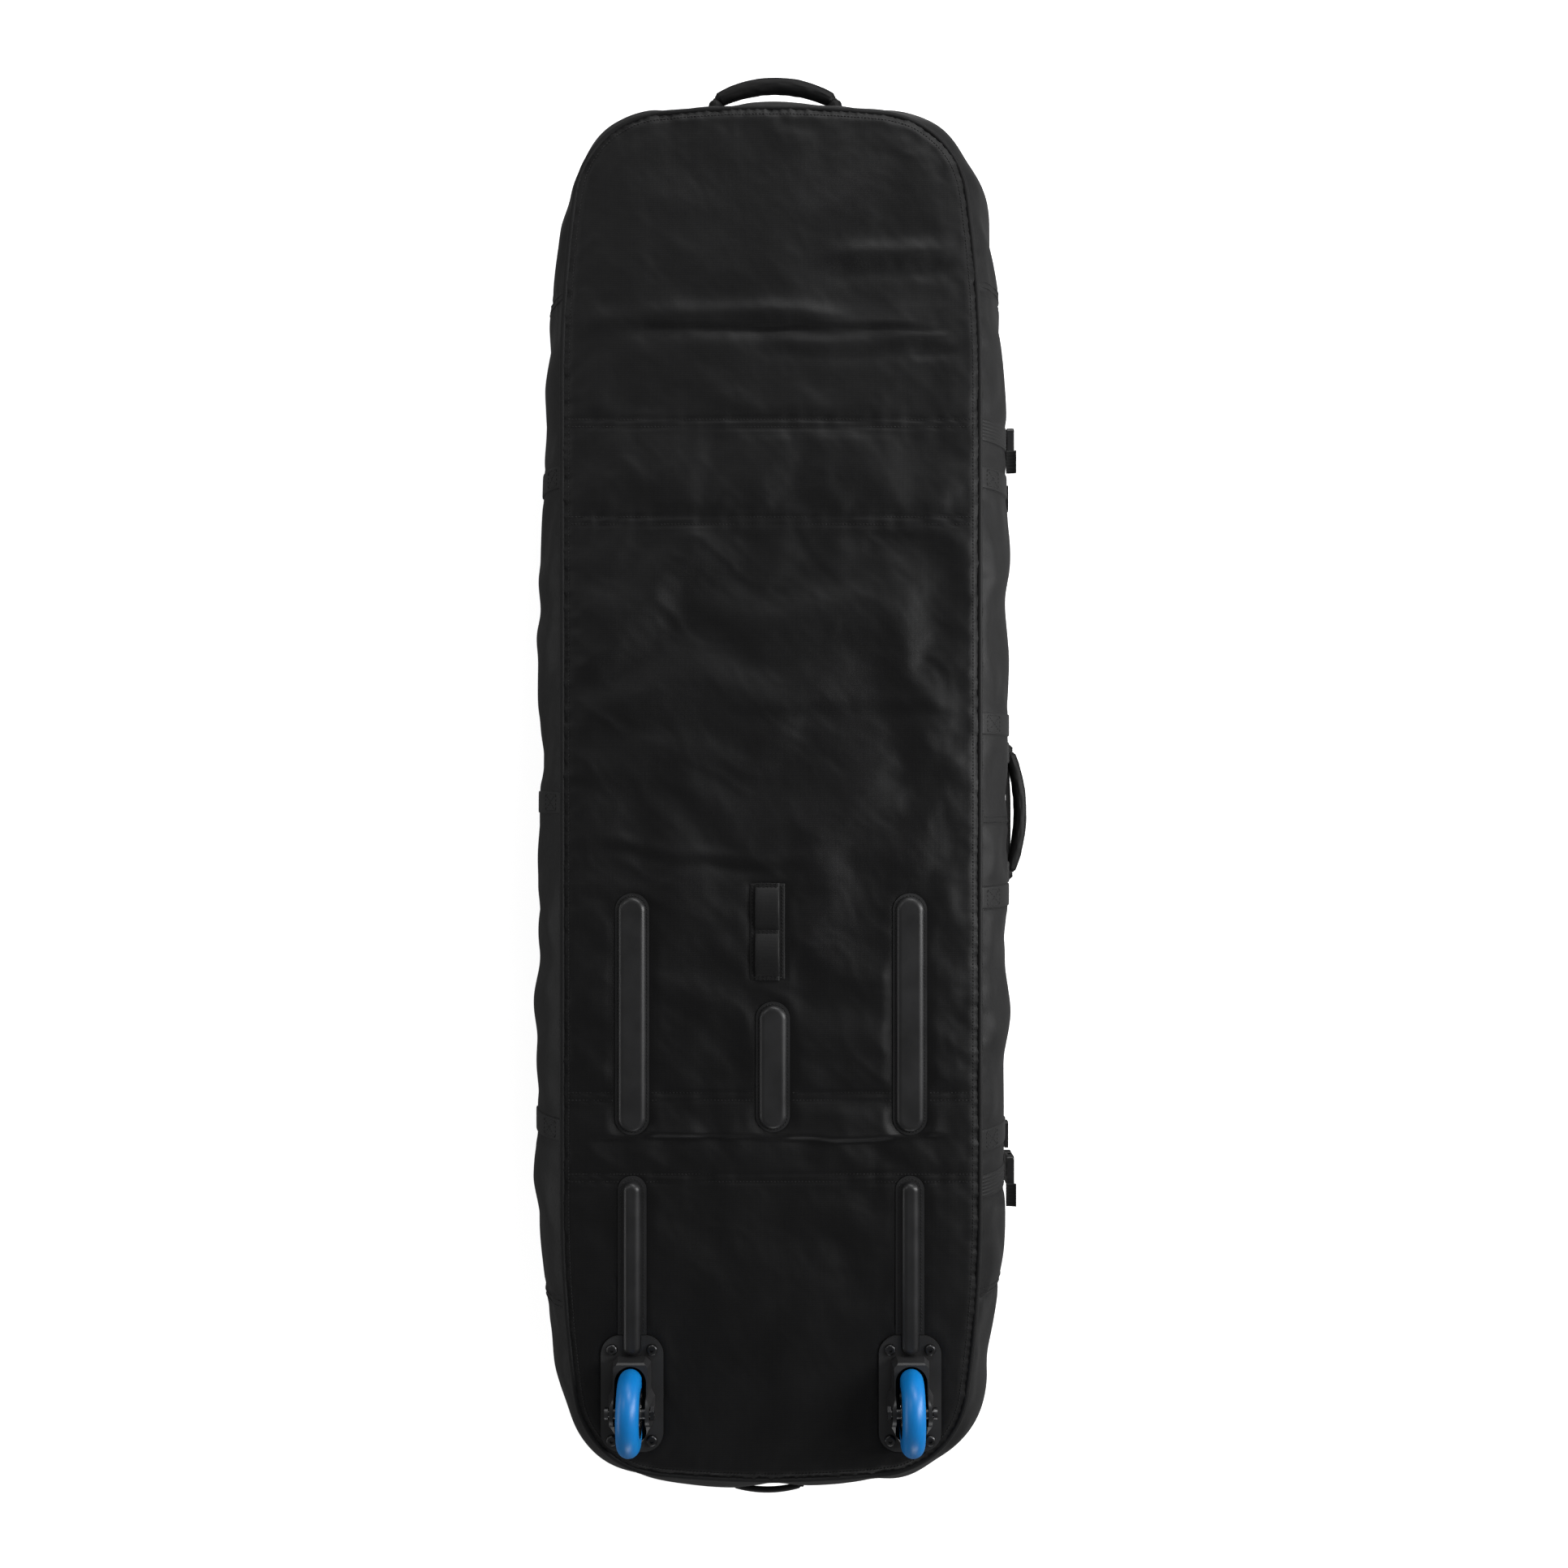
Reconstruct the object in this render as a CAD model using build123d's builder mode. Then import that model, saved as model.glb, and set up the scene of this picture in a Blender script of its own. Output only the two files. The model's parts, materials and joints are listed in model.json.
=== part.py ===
from build123d import *
from math import radians, sin, sqrt
import os

# Snowboard bag with two wheels, in millimetres.  The bag lies on its lid, so the back panel,
# its skid pads and its wheels face up.  +X is to the bag's right, +Y points to the carry handle
# at its top end and +Z points up.  The origin is on the lid's outer face, in the bag's middle.

# ---- body: back panel and lid share one seam outline, joined by a bulged gusset
DEPTH = 230.0
SEAM_HALF_WIDTH = 226.0
SEAM_STRAIGHT = 442.0
SHOULDER_RADIUS = 1500.0
SHOULDER_ANGLE = 8.0
CORNER_RADIUS = 100.0
END_ANGLE = 6.0
CORNER_ANGLE = 90.0 - SHOULDER_ANGLE - END_ANGLE
SEAM_ENDS_Y = 548.0
BULGE = 38.0
GUSSET_THICKNESS = 4.0
FABRIC = 4.0
FOAM = 6.0
SHEET = 2.0
PIPING_RADIUS = 3.0
PANEL_INSET = PIPING_RADIUS
FOAM_INSET = 6.0
SHEET_INSET = 10.0
SHEET_TOP_Y = -380.0
GUSSET_LOW = 32.0
GUSSET_HIGH = DEPTH - FABRIC - PIPING_RADIUS
BACK_PIPING_Z = DEPTH - FABRIC
LID_PIPING_Z = 5.0

# ---- zip: one tape on the gusset, one on the lid, meeting at ZIP_Z
ZIP_Z = 21.0
ZIP_GAP = 0.6
TAPE_THICKNESS = 3.0
ZIP_END_X = -120.0
HINGE_WEB_LOW = 12.0
SLIDER_START_Y = 30.0
SLIDER_LENGTH = 18.0
SLIDER_HEIGHT = 13.0
SLIDER_THICKNESS = 6.0
SLIDER_CLEARANCE = 0.6
PULLER_LENGTH = 34.0
PULLER_WIDTH = 9.0
PULLER_THICKNESS = 2.2

# ---- gusset webbing: tabs, compression straps and handle patches lie on the gusset
WEBBING = 1.6
WEBBING_LIFT = 0.05
STRAP_WIDTH = 26.0
TAB_WIDTH = 25.0
STRAP_Y = {"upper": 397.0, "lower": -427.0}
RIGHT_TABS_Y = (345.0, 77.0, -113.0, -377.0)
LEFT_TABS_Y = (345.0, -9.0, -365.0)
TAB_LOW_Z = 138.0
BUCKLE_LIFT = 2.6
BUCKLE_WIDTH = 34.0
SOCKET_LENGTH = 26.0
SOCKET_HEIGHT = 8.0
TONGUE_BAR = 12.0
TAIL_Z = 150.0
TAIL_LENGTH = 11.0
TAIL_THICKNESS = 3.4
TAIL_OFFSET_Y = -24.0
TAB_SLIDER_WIDTH = 30.0
TAB_SLIDER_HEIGHT = 16.0
TAB_SLIDER_THICKNESS = 4.0
TAB_SLIDER_OFFSET_Y = -10.0
TAB_SLOT_WIDTH = 24.0
TAB_SLOT_HEIGHT = 3.0
TAB_SLOT_PITCH = 7.0

# ---- wheels: 90 x 24 mm skate wheels on 608 bearings
WHEEL_X = 150.0
AXLE_Y = -657.0
AXLE_HEIGHT = 34.0
AXLE_Z = DEPTH + AXLE_HEIGHT
WHEEL_RADIUS = 45.0
WHEEL_WIDTH = 24.0
TREAD_SHOULDER = 35.0
CORE_RADIUS = 26.0
BEARING_OUTER = 11.0
BEARING_INNER = 4.0
BEARING_WIDTH = 7.0
INNER_RING_RADIUS = 6.0
RUNNING_GAP = 0.08
AXLE_RADIUS = 3.98
HEAD_X = 22.4
AXLE_HEAD_RADIUS = 6.5
AXLE_HEAD_LENGTH = 4.0
AXLE_HEX_RADIUS = 2.5

# ---- wheel housing: plate, raised boss and the well that sinks through the panel
PLATE_WIDTH = 67.5
PLATE_TOP_Y = -584.0
PLATE_LOW_Y = -709.5
PLATE_THICKNESS = 3.0
PLATE_CORNER = 21.0
BOSS_TOP_Y = -605.5
BOSS_LOW_Y = -701.0
BOSS_HALF_WIDTH = 21.0
BOSS_AXLE_HALF_WIDTH = 25.3
BOSS_TAPER = 6.0
EAR_RADIUS = 16.0
RIM_HEIGHT = 27.0
POCKET_TOP_Y = -611.0
POCKET_LOW_Y = -698.0
POCKET_WIDTH = 34.0
POCKET_FLOOR_Z = DEPTH - 16.0
WELL_WALL = 2.0
SCREW_DX = 21.5
SCREW_TOP_Y = -599.0
SCREW_PITCH_Y = 98.0
SCREW_HEAD_RADIUS = 6.0
SCREW_HEAD_HEIGHT = 4.0
SCREW_HEAD_ROUNDING = 2.4
HEX_SOCKET = 2.4
SCREW_RADIUS = 2.5
SCREW_HOLE_RADIUS = 2.6
NUT_HEIGHT = 4.0

# ---- moulded protection on the back panel
PAD_WIDTH = 37.0
PAD_CROWN_WIDTH = 30.0
PAD_FLANGE = 1.5
PAD_HEIGHT = 8.0
PAD_CROWN_FILLET = 6.2
SIDE_PAD_Y = (-368.0, -107.0)
MIDDLE_PAD_Y = (-365.0, -224.0)
MIDDLE_PAD_X = 2.0
RAIL_WIDTH = 31.0
RIDGE_WIDTH = 18.5
RIDGE_HEIGHT = 11.0
RIDGE_FILLET = 6.5
RAIL_TOP_Y = -412.0
NOTCH_GAP = 0.5

# ---- storage loops
LOOP_X = -4.0
LOOP_PATCH_WIDTH = 38.6
LOOP_PATCH_Y = (-201.0, -96.0)
LOOP_WIDTH = 26.0
LOOP_RISE = 6.2
LOOP_TACK = 5.0

# ---- handles and side strap
HANDLE_GAP = 0.4
GRIP_END_ROUNDING = 2.0
PATCH_WIDTH = 24.0
PATCH_HALF_HEIGHT = 20.0
TOP_HANDLE_X = (-62.0, 70.0)
TOP_HANDLE_RISE = 17.0
TOP_CORD_RADIUS = 5.5
TOP_GRIP_RADIUS = 9.0
TOP_GRIP_HALF_LENGTH = 56.0
SIDE_HANDLE_Y = (-88.0, 46.0)
SIDE_HANDLE_RISE = 12.0
SIDE_CORD_RADIUS = 4.5
SIDE_GRIP_RADIUS = 7.2
SIDE_GRIP_HALF_LENGTH = 54.0
BOTTOM_HANDLE_X = (-44.0, 34.0)
BOTTOM_HANDLE_RISE = 6.0
BOTTOM_CORD_RADIUS = 3.5
SIDE_STRAP_Y = (-185.0, 150.0)
SIDE_STRAP_Z = (62.0, 98.0)
SIDE_STRAP_LIFT = 1.3
SIDE_STRAP_BOW = 12.0
SIDE_STRAP_THICKNESS = 3.0
ANCHOR_INSET = 12.0
ANCHOR_WIDTH = 18.0
ANCHOR_MARGIN = 6.0
ANCHOR_Z = (SIDE_STRAP_Z[0] - ANCHOR_MARGIN, SIDE_STRAP_Z[1] + ANCHOR_MARGIN)

# ---- inner tie-down straps
TIE_DOWN_Y = (-250.0, 250.0)
TIE_DOWN_WIDTH = 38.0
TIE_DOWN_HALF_LENGTH = 208.0
TIE_BUCKLE_LENGTH = 62.0
TIE_BUCKLE_MARGIN = 4.0
TIE_BUCKLE_HEIGHT = 7.0

# Gusset cross-section: an arc through both seams that stands BULGE proud at half height.
MID_Z = (GUSSET_LOW + GUSSET_HIGH) / 2
HALF_CHORD = (GUSSET_HIGH - GUSSET_LOW) / 2
GUSSET_RADIUS = (HALF_CHORD**2 + BULGE**2) / (2 * BULGE)
GUSSET_CENTRE_X = SEAM_HALF_WIDTH + BULGE - GUSSET_RADIUS

os.makedirs("parts", exist_ok=True)


def save(part, label):
    """Label a finished piece and write its STEP file."""
    part.label = label
    export_step(part, f"parts/{label}.step")


def surface_x(z):
    """X of the right gusset's outer face at height z, along its straight stretch."""
    return GUSSET_CENTRE_X + sqrt(GUSSET_RADIUS**2 - (z - MID_Z) ** 2)


SIDE_STRAP_INNER_X = surface_x(SIDE_STRAP_Z[1]) + SIDE_STRAP_LIFT


def seam_quarter():
    """Seam line from the middle of the right side to the middle of the top end."""
    side = Line((SEAM_HALF_WIDTH, 0), (SEAM_HALF_WIDTH, SEAM_STRAIGHT))
    shoulder = JernArc(side @ 1, side % 1, SHOULDER_RADIUS, SHOULDER_ANGLE)
    corner = JernArc(shoulder @ 1, shoulder % 1, CORNER_RADIUS, CORNER_ANGLE)
    end_radius = (corner @ 1).X / sin(radians(END_ANGLE))
    return JernArc(corner @ 1, corner % 1, end_radius, END_ANGLE)


def seam_face(inset):
    """The whole seam outline as a face, moved in by inset."""
    with BuildSketch() as face:
        with BuildLine():
            seam_quarter()
            mirror(about=Plane.YZ)
            mirror(about=Plane.XZ)
        make_face()
        if inset > 0:
            offset(amount=-inset, mode=Mode.REPLACE)
    return face.sketch


with BuildLine() as seam_line:
    end_arc = seam_quarter()
SEAM_END_Y = (end_arc @ 1).Y
SEAM = seam_face(0)
TAPE_INNER = seam_face(TAPE_THICKNESS)
PANEL = seam_face(PANEL_INSET)
CUSHION = seam_face(FOAM_INSET)
BOARD = seam_face(SHEET_INSET)


def gusset_shell(inner_offset, outer_offset):
    """Closed ring between two arcs parallel to the gusset's outer face."""
    with BuildPart() as ring:
        with BuildLine() as path:
            seam_quarter()
        with BuildSketch(Plane.XZ):
            with BuildLine():
                middle = SEAM_HALF_WIDTH + BULGE
                low_out = (SEAM_HALF_WIDTH + outer_offset, GUSSET_LOW)
                high_out = (SEAM_HALF_WIDTH + outer_offset, GUSSET_HIGH)
                low_in = (SEAM_HALF_WIDTH + inner_offset, GUSSET_LOW)
                high_in = (SEAM_HALF_WIDTH + inner_offset, GUSSET_HIGH)
                ThreePointArc(low_out, (middle + outer_offset, MID_Z), high_out)
                Line(high_out, high_in)
                ThreePointArc(high_in, (middle + inner_offset, MID_Z), low_in)
                Line(low_in, low_out)
            make_face()
        sweep(path=path.wire())
        mirror(about=Plane.YZ)
        mirror(about=Plane.XZ)
    return ring.part


def piping(z):
    """Round cord all the way round the seam at height z."""
    with BuildPart() as cord:
        with BuildLine() as path:
            seam_quarter()
        with BuildSketch(Plane.XZ):
            with Locations((SEAM_HALF_WIDTH, z)):
                Circle(PIPING_RADIUS)
        sweep(path=path.wire())
        mirror(about=Plane.YZ)
        mirror(about=Plane.XZ)
    return cord.part


def region(solid, x_range, y_range, z_range):
    """The stretch of a solid inside a box given by its three ranges."""
    low = (x_range[0], y_range[0], z_range[0])
    high = (x_range[1], y_range[1], z_range[1])
    size = [b - a for a, b in zip(low, high)]
    centre = [(a + b) / 2 for a, b in zip(low, high)]
    with BuildPart() as piece:
        add(solid)
        with Locations(tuple(centre)):
            Box(*size, mode=Mode.INTERSECT)
    return piece.part


FAR = 900.0
WHOLE_Z = (0.0, DEPTH)
gusset_ring = gusset_shell(-GUSSET_THICKNESS, 0.0)
webbing_ring = gusset_shell(WEBBING_LIFT, WEBBING_LIFT + WEBBING)

# ================================================================ gusset, panels and foam
save(region(gusset_ring, (-FAR, 0), (-SEAM_ENDS_Y, SEAM_ENDS_Y), WHOLE_Z), "gusset_left")
save(region(gusset_ring, (0, FAR), (-SEAM_ENDS_Y, SEAM_ENDS_Y), WHOLE_Z), "gusset_right")
save(region(gusset_ring, (-FAR, FAR), (SEAM_ENDS_Y, FAR), WHOLE_Z), "gusset_top")
save(region(gusset_ring, (-FAR, FAR), (-FAR, -SEAM_ENDS_Y), WHOLE_Z), "gusset_bottom")

POCKET_Y = (POCKET_TOP_Y + POCKET_LOW_Y) / 2
POCKET_LENGTH = POCKET_TOP_Y - POCKET_LOW_Y
WELL_GAP = 0.3
SCREW_MID_Y = SCREW_TOP_Y - SCREW_PITCH_Y / 2
WELL_LENGTH = POCKET_LENGTH + 2 * WELL_WALL
WELL_WIDTH = POCKET_WIDTH + 2 * WELL_WALL

with BuildSketch() as well_cuts:
    with Locations((-WHEEL_X, POCKET_Y), (WHEEL_X, POCKET_Y)):
        SlotOverall(WELL_LENGTH + 2 * WELL_GAP, WELL_WIDTH + 2 * WELL_GAP, rotation=90)
    with Locations((-WHEEL_X, SCREW_MID_Y), (WHEEL_X, SCREW_MID_Y)):
        with GridLocations(2 * SCREW_DX, SCREW_PITCH_Y, 2, 2):
            Circle(SCREW_HOLE_RADIUS)
WELL_CUTS = well_cuts.sketch

with BuildPart() as back_panel:
    with BuildSketch(Plane.XY.offset(DEPTH - FABRIC)):
        add(PANEL)
        add(WELL_CUTS, mode=Mode.SUBTRACT)
    extrude(amount=FABRIC)
save(back_panel.part, "back_panel")

FOAM_LOW = DEPTH - FABRIC - FOAM
with BuildPart() as back_foam:
    with BuildSketch(Plane.XY.offset(FOAM_LOW)):
        add(CUSHION)
        add(WELL_CUTS, mode=Mode.SUBTRACT)
    extrude(amount=FOAM)
save(back_foam.part, "back_foam")

SHEET_LOW = FOAM_LOW - SHEET
with BuildPart() as base_sheet:
    with BuildSketch(Plane.XY.offset(SHEET_LOW)):
        add(BOARD)
        with Locations((0, SHEET_TOP_Y)):
            Rectangle(2 * FAR, FAR, align=(Align.CENTER, Align.MAX), mode=Mode.INTERSECT)
        add(WELL_CUTS, mode=Mode.SUBTRACT)
    extrude(amount=SHEET)
save(base_sheet.part, "base_sheet")

save(piping(BACK_PIPING_Z), "back_piping")
save(piping(LID_PIPING_Z), "lid_piping")

with BuildPart() as lid_panel:
    with BuildSketch(Plane.XY):
        add(PANEL)
    extrude(amount=FABRIC)
save(lid_panel.part, "lid_panel")

with BuildPart() as lid_foam:
    with BuildSketch(Plane.XY.offset(FABRIC)):
        add(CUSHION)
    extrude(amount=FOAM)
save(lid_foam.part, "lid_foam")


# ================================================================ zip and lid hinge
def tape(z_low, z_high):
    """Upright tape all the way round the seam between two heights."""
    with BuildPart() as band:
        with BuildSketch(Plane.XY.offset(z_low)):
            add(SEAM)
            add(TAPE_INNER, mode=Mode.SUBTRACT)
        extrude(amount=z_high - z_low)
    return band.part


gusset_tape = tape(ZIP_Z + ZIP_GAP / 2, GUSSET_LOW)
lid_tape = tape(LID_PIPING_Z + PIPING_RADIUS, ZIP_Z - ZIP_GAP / 2)
hinge_tape = tape(HINGE_WEB_LOW, GUSSET_LOW)
save(region(gusset_tape, (ZIP_END_X, FAR), (-FAR, FAR), WHOLE_Z), "zip_tape_gusset")
save(region(lid_tape, (ZIP_END_X, FAR), (-FAR, FAR), WHOLE_Z), "zip_tape_lid")
save(region(hinge_tape, (-FAR, ZIP_END_X), (-FAR, FAR), WHOLE_Z), "lid_hinge_web")

SLIDER_X = SEAM_HALF_WIDTH + SLIDER_CLEARANCE
PIN_RADIUS = 1.6
EYE_RADIUS = PIN_RADIUS + RUNNING_GAP
KNUCKLE_RADIUS = EYE_RADIUS + 1.4
PIVOT_X = SLIDER_X + SLIDER_THICKNESS + KNUCKLE_RADIUS + 0.4


def zip_slider(y):
    """Slider body with two cheeks that hold the puller's pin."""
    with BuildPart() as slider:
        with BuildSketch(Plane.YZ.offset(SLIDER_X)):
            with Locations((y, ZIP_Z)):
                RectangleRounded(SLIDER_LENGTH, SLIDER_HEIGHT, 3)
        extrude(amount=SLIDER_THICKNESS)
        pin_length = PULLER_WIDTH + 4
        with Locations((PIVOT_X, y, ZIP_Z)):
            Cylinder(PIN_RADIUS, pin_length)
        for side in (-1, 1):
            cheek_z = ZIP_Z + side * (PULLER_WIDTH / 2 + 1.3)
            with Locations((PIVOT_X - 2, y, cheek_z)):
                Box(8, 6, 1.6)
    return slider.part


def zip_puller(y, direction):
    """Flat puller with an eye round the pin, lying along the zip."""
    tip_y = y + direction * (PULLER_LENGTH - PULLER_WIDTH / 2)
    with BuildPart() as puller:
        with Locations((PIVOT_X, (y + tip_y) / 2, ZIP_Z)):
            Box(PULLER_THICKNESS, abs(tip_y - y), PULLER_WIDTH)
        with Locations((PIVOT_X, y, ZIP_Z)):
            Cylinder(KNUCKLE_RADIUS, PULLER_WIDTH)
        with Locations((PIVOT_X, tip_y, ZIP_Z)):
            Cylinder(PULLER_WIDTH / 2, PULLER_THICKNESS, rotation=(0, 90, 0))
        with Locations((PIVOT_X, y, ZIP_Z)):
            Cylinder(EYE_RADIUS, PULLER_WIDTH, mode=Mode.SUBTRACT)
    return puller.part


for level, direction in (("upper", 1), ("lower", -1)):
    slider_y = direction * SLIDER_START_Y
    save(zip_slider(slider_y), f"zip_slider_{level}")
    save(zip_puller(slider_y, direction), f"zip_puller_{level}")


# ================================================================ pads and kick rails
def skid_pad(x, y_range):
    """Moulded pad: a flat sewn flange under a rounded crown."""
    length = y_range[1] - y_range[0]
    centre = (x, (y_range[0] + y_range[1]) / 2)
    margin = PAD_WIDTH - PAD_CROWN_WIDTH
    with BuildPart() as pad:
        with BuildSketch(Plane.XY.offset(DEPTH)):
            with Locations(centre):
                SlotOverall(length, PAD_WIDTH, rotation=90)
        extrude(amount=PAD_FLANGE)
        with BuildSketch(Plane.XY.offset(DEPTH + PAD_FLANGE)):
            with Locations(centre):
                SlotOverall(length - margin, PAD_CROWN_WIDTH, rotation=90)
        extrude(amount=PAD_HEIGHT - PAD_FLANGE)
        fillet(pad.edges().group_by(Axis.Z)[-1], PAD_CROWN_FILLET)
    return pad.part


save(skid_pad(-WHEEL_X, SIDE_PAD_Y), "skid_pad_left")
save(skid_pad(WHEEL_X, SIDE_PAD_Y), "skid_pad_right")
save(skid_pad(MIDDLE_PAD_X, MIDDLE_PAD_Y), "skid_pad_middle")


def kick_rail(x):
    """Sewn rail whose ridge runs on into the wheel housing's notch."""
    flange_low = PLATE_TOP_Y + NOTCH_GAP
    ridge_low = BOSS_TOP_Y + NOTCH_GAP
    with BuildPart() as rail:
        with BuildSketch(Plane.XY.offset(DEPTH)):
            with Locations((x, flange_low)):
                Rectangle(
                    RAIL_WIDTH,
                    RAIL_TOP_Y - RAIL_WIDTH / 2 - flange_low,
                    align=(Align.CENTER, Align.MIN),
                )
            with Locations((x, RAIL_TOP_Y - RAIL_WIDTH / 2)):
                Circle(RAIL_WIDTH / 2)
        extrude(amount=PAD_FLANGE)
        ridge_top = RAIL_TOP_Y - (RAIL_WIDTH - RIDGE_WIDTH) / 2
        with BuildSketch(Plane.XY.offset(DEPTH)):
            with Locations((x, (ridge_top + ridge_low) / 2)):
                SlotOverall(ridge_top - ridge_low, RIDGE_WIDTH, rotation=90)
        extrude(amount=RIDGE_HEIGHT)
        fillet(rail.edges().group_by(Axis.Z)[-1], RIDGE_FILLET)
    return rail.part


save(kick_rail(-WHEEL_X), "kick_rail_left")
save(kick_rail(WHEEL_X), "kick_rail_right")


# ================================================================ wheel housings
def wheel_housing(x):
    """Plate with a raised boss, two axle ears and a well for the wheel."""
    plate_y = (PLATE_TOP_Y + PLATE_LOW_Y) / 2
    with BuildPart() as housing:
        with BuildSketch(Plane.XY.offset(DEPTH)):
            with BuildLine():
                half = [
                    (BOSS_HALF_WIDTH - 6, BOSS_TOP_Y),
                    (BOSS_HALF_WIDTH, BOSS_TOP_Y - 6),
                    (BOSS_HALF_WIDTH, AXLE_Y + 17),
                    (BOSS_AXLE_HALF_WIDTH, AXLE_Y + 9),
                    (BOSS_AXLE_HALF_WIDTH, AXLE_Y - 16),
                    (BOSS_HALF_WIDTH - 1.5, BOSS_LOW_Y + 17),
                    (BOSS_HALF_WIDTH - 8, BOSS_LOW_Y + 5),
                    (BOSS_HALF_WIDTH - 13, BOSS_LOW_Y),
                ]
                right = [(x + dx, y) for dx, y in reversed(half)]
                left = [(x - dx, y) for dx, y in half]
                Polyline(*right, *left, close=True)
            make_face()
        extrude(amount=AXLE_HEIGHT + EAR_RADIUS, taper=BOSS_TAPER)
        with BuildSketch(Plane.YZ.offset(x - PLATE_WIDTH / 2)):
            with BuildLine():
                ear_top = (AXLE_Y, DEPTH + RIM_HEIGHT + EAR_RADIUS)
                ear_high = (AXLE_Y + EAR_RADIUS, DEPTH + RIM_HEIGHT)
                ear_low = (AXLE_Y - EAR_RADIUS, DEPTH + RIM_HEIGHT)
                nose = (BOSS_TOP_Y - 4, DEPTH + RIM_HEIGHT - 4)
                base = [(BOSS_TOP_Y, DEPTH), (BOSS_LOW_Y, DEPTH)]
                Polyline(ear_high, nose, (BOSS_TOP_Y, DEPTH + RIM_HEIGHT - 9), *base)
                Polyline(base[1], (BOSS_LOW_Y, DEPTH + 7), ear_low)
                ThreePointArc(ear_low, ear_top, ear_high)
            make_face()
        extrude(amount=PLATE_WIDTH, mode=Mode.INTERSECT)
        with BuildSketch(Plane.XY.offset(DEPTH)):
            with Locations((x, plate_y)):
                RectangleRounded(PLATE_WIDTH, PLATE_TOP_Y - PLATE_LOW_Y, PLATE_CORNER)
        extrude(amount=PLATE_THICKNESS)
        with BuildSketch(Plane.XY.offset(POCKET_FLOOR_Z - WELL_WALL)):
            with Locations((x, POCKET_Y)):
                SlotOverall(WELL_LENGTH, WELL_WIDTH, rotation=90)
        extrude(until=Until.NEXT)
        with BuildSketch(Plane.XY.offset(POCKET_FLOOR_Z)):
            with Locations((x, POCKET_Y)):
                SlotOverall(POCKET_LENGTH, POCKET_WIDTH, rotation=90)
        extrude(amount=DEPTH, mode=Mode.SUBTRACT)
        with BuildSketch(Plane.XY.offset(DEPTH)):
            notch_width = RIDGE_WIDTH + 2 * NOTCH_GAP
            with Locations((x, BOSS_TOP_Y + notch_width / 2)):
                Circle(notch_width / 2)
                Rectangle(notch_width, RAIL_WIDTH, align=(Align.CENTER, Align.MIN))
        extrude(amount=PLATE_THICKNESS, mode=Mode.SUBTRACT)
        with Locations((x, AXLE_Y, AXLE_Z)):
            Cylinder(BEARING_INNER, PLATE_WIDTH, rotation=(0, 90, 0), mode=Mode.SUBTRACT)
        with Locations((x, SCREW_MID_Y, DEPTH)):
            with GridLocations(2 * SCREW_DX, SCREW_PITCH_Y, 2, 2):
                Cylinder(SCREW_HOLE_RADIUS, 4 * PLATE_THICKNESS, mode=Mode.SUBTRACT)
    return housing.part


save(wheel_housing(-WHEEL_X), "wheel_housing_left")
save(wheel_housing(WHEEL_X), "wheel_housing_right")

BACKING_LOW = SHEET_LOW - 1.5
NUT_LOW = BACKING_LOW - NUT_HEIGHT
BOTH_SCREW_GROUPS = ((-WHEEL_X, SCREW_MID_Y), (WHEEL_X, SCREW_MID_Y))

with BuildPart() as housing_screws:
    with BuildSketch(Plane.XY.offset(DEPTH + PLATE_THICKNESS)):
        with Locations(*BOTH_SCREW_GROUPS):
            with GridLocations(2 * SCREW_DX, SCREW_PITCH_Y, 2, 2):
                Circle(SCREW_HEAD_RADIUS)
    extrude(amount=SCREW_HEAD_HEIGHT)
    fillet(housing_screws.edges().group_by(Axis.Z)[-1], SCREW_HEAD_ROUNDING)
    with BuildSketch(Plane.XY.offset(DEPTH + PLATE_THICKNESS + SCREW_HEAD_HEIGHT)):
        with Locations(*BOTH_SCREW_GROUPS):
            with GridLocations(2 * SCREW_DX, SCREW_PITCH_Y, 2, 2):
                RegularPolygon(HEX_SOCKET, 6)
    extrude(amount=-HEX_SOCKET, mode=Mode.SUBTRACT)
    with BuildSketch(Plane.XY.offset(NUT_LOW - 1)):
        with Locations(*BOTH_SCREW_GROUPS):
            with GridLocations(2 * SCREW_DX, SCREW_PITCH_Y, 2, 2):
                Circle(SCREW_RADIUS)
    extrude(amount=DEPTH + PLATE_THICKNESS - NUT_LOW + 1)
save(housing_screws.part, "housing_screws")

with BuildPart() as housing_nuts:
    with BuildSketch(Plane.XY.offset(NUT_LOW)):
        with Locations(*BOTH_SCREW_GROUPS):
            with GridLocations(2 * SCREW_DX, SCREW_PITCH_Y, 2, 2):
                RegularPolygon(4.6, 6)
                Circle(SCREW_RADIUS, mode=Mode.SUBTRACT)
    extrude(amount=NUT_HEIGHT)
save(housing_nuts.part, "housing_nuts")

with BuildPart() as backing_plates:
    with BuildSketch(Plane.XY.offset(BACKING_LOW)):
        with Locations(*BOTH_SCREW_GROUPS):
            RectangleRounded(PLATE_WIDTH - 8, SCREW_PITCH_Y + 18, 8)
        add(WELL_CUTS, mode=Mode.SUBTRACT)
    extrude(amount=SHEET_LOW - BACKING_LOW)
save(backing_plates.part, "backing_plates")

# ================================================================ wheels and axles

def turned(x, outline):
    """A solid turned about the axle; outline holds (distance along axle, radius) pairs."""
    points = [(x + along, AXLE_Y + radius) for along, radius in outline]
    with BuildPart() as piece:
        with BuildSketch(Plane.XY.offset(AXLE_Z)):
            with BuildLine():
                Polyline(*points, close=True)
            make_face()
        revolve(axis=Axis((x, AXLE_Y, AXLE_Z), (1, 0, 0)))
    return piece.part


def tube(x, start, end, inner, outer):
    """A plain ring round the axle."""
    return turned(x, [(start, inner), (end, inner), (end, outer), (start, outer)])


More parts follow.
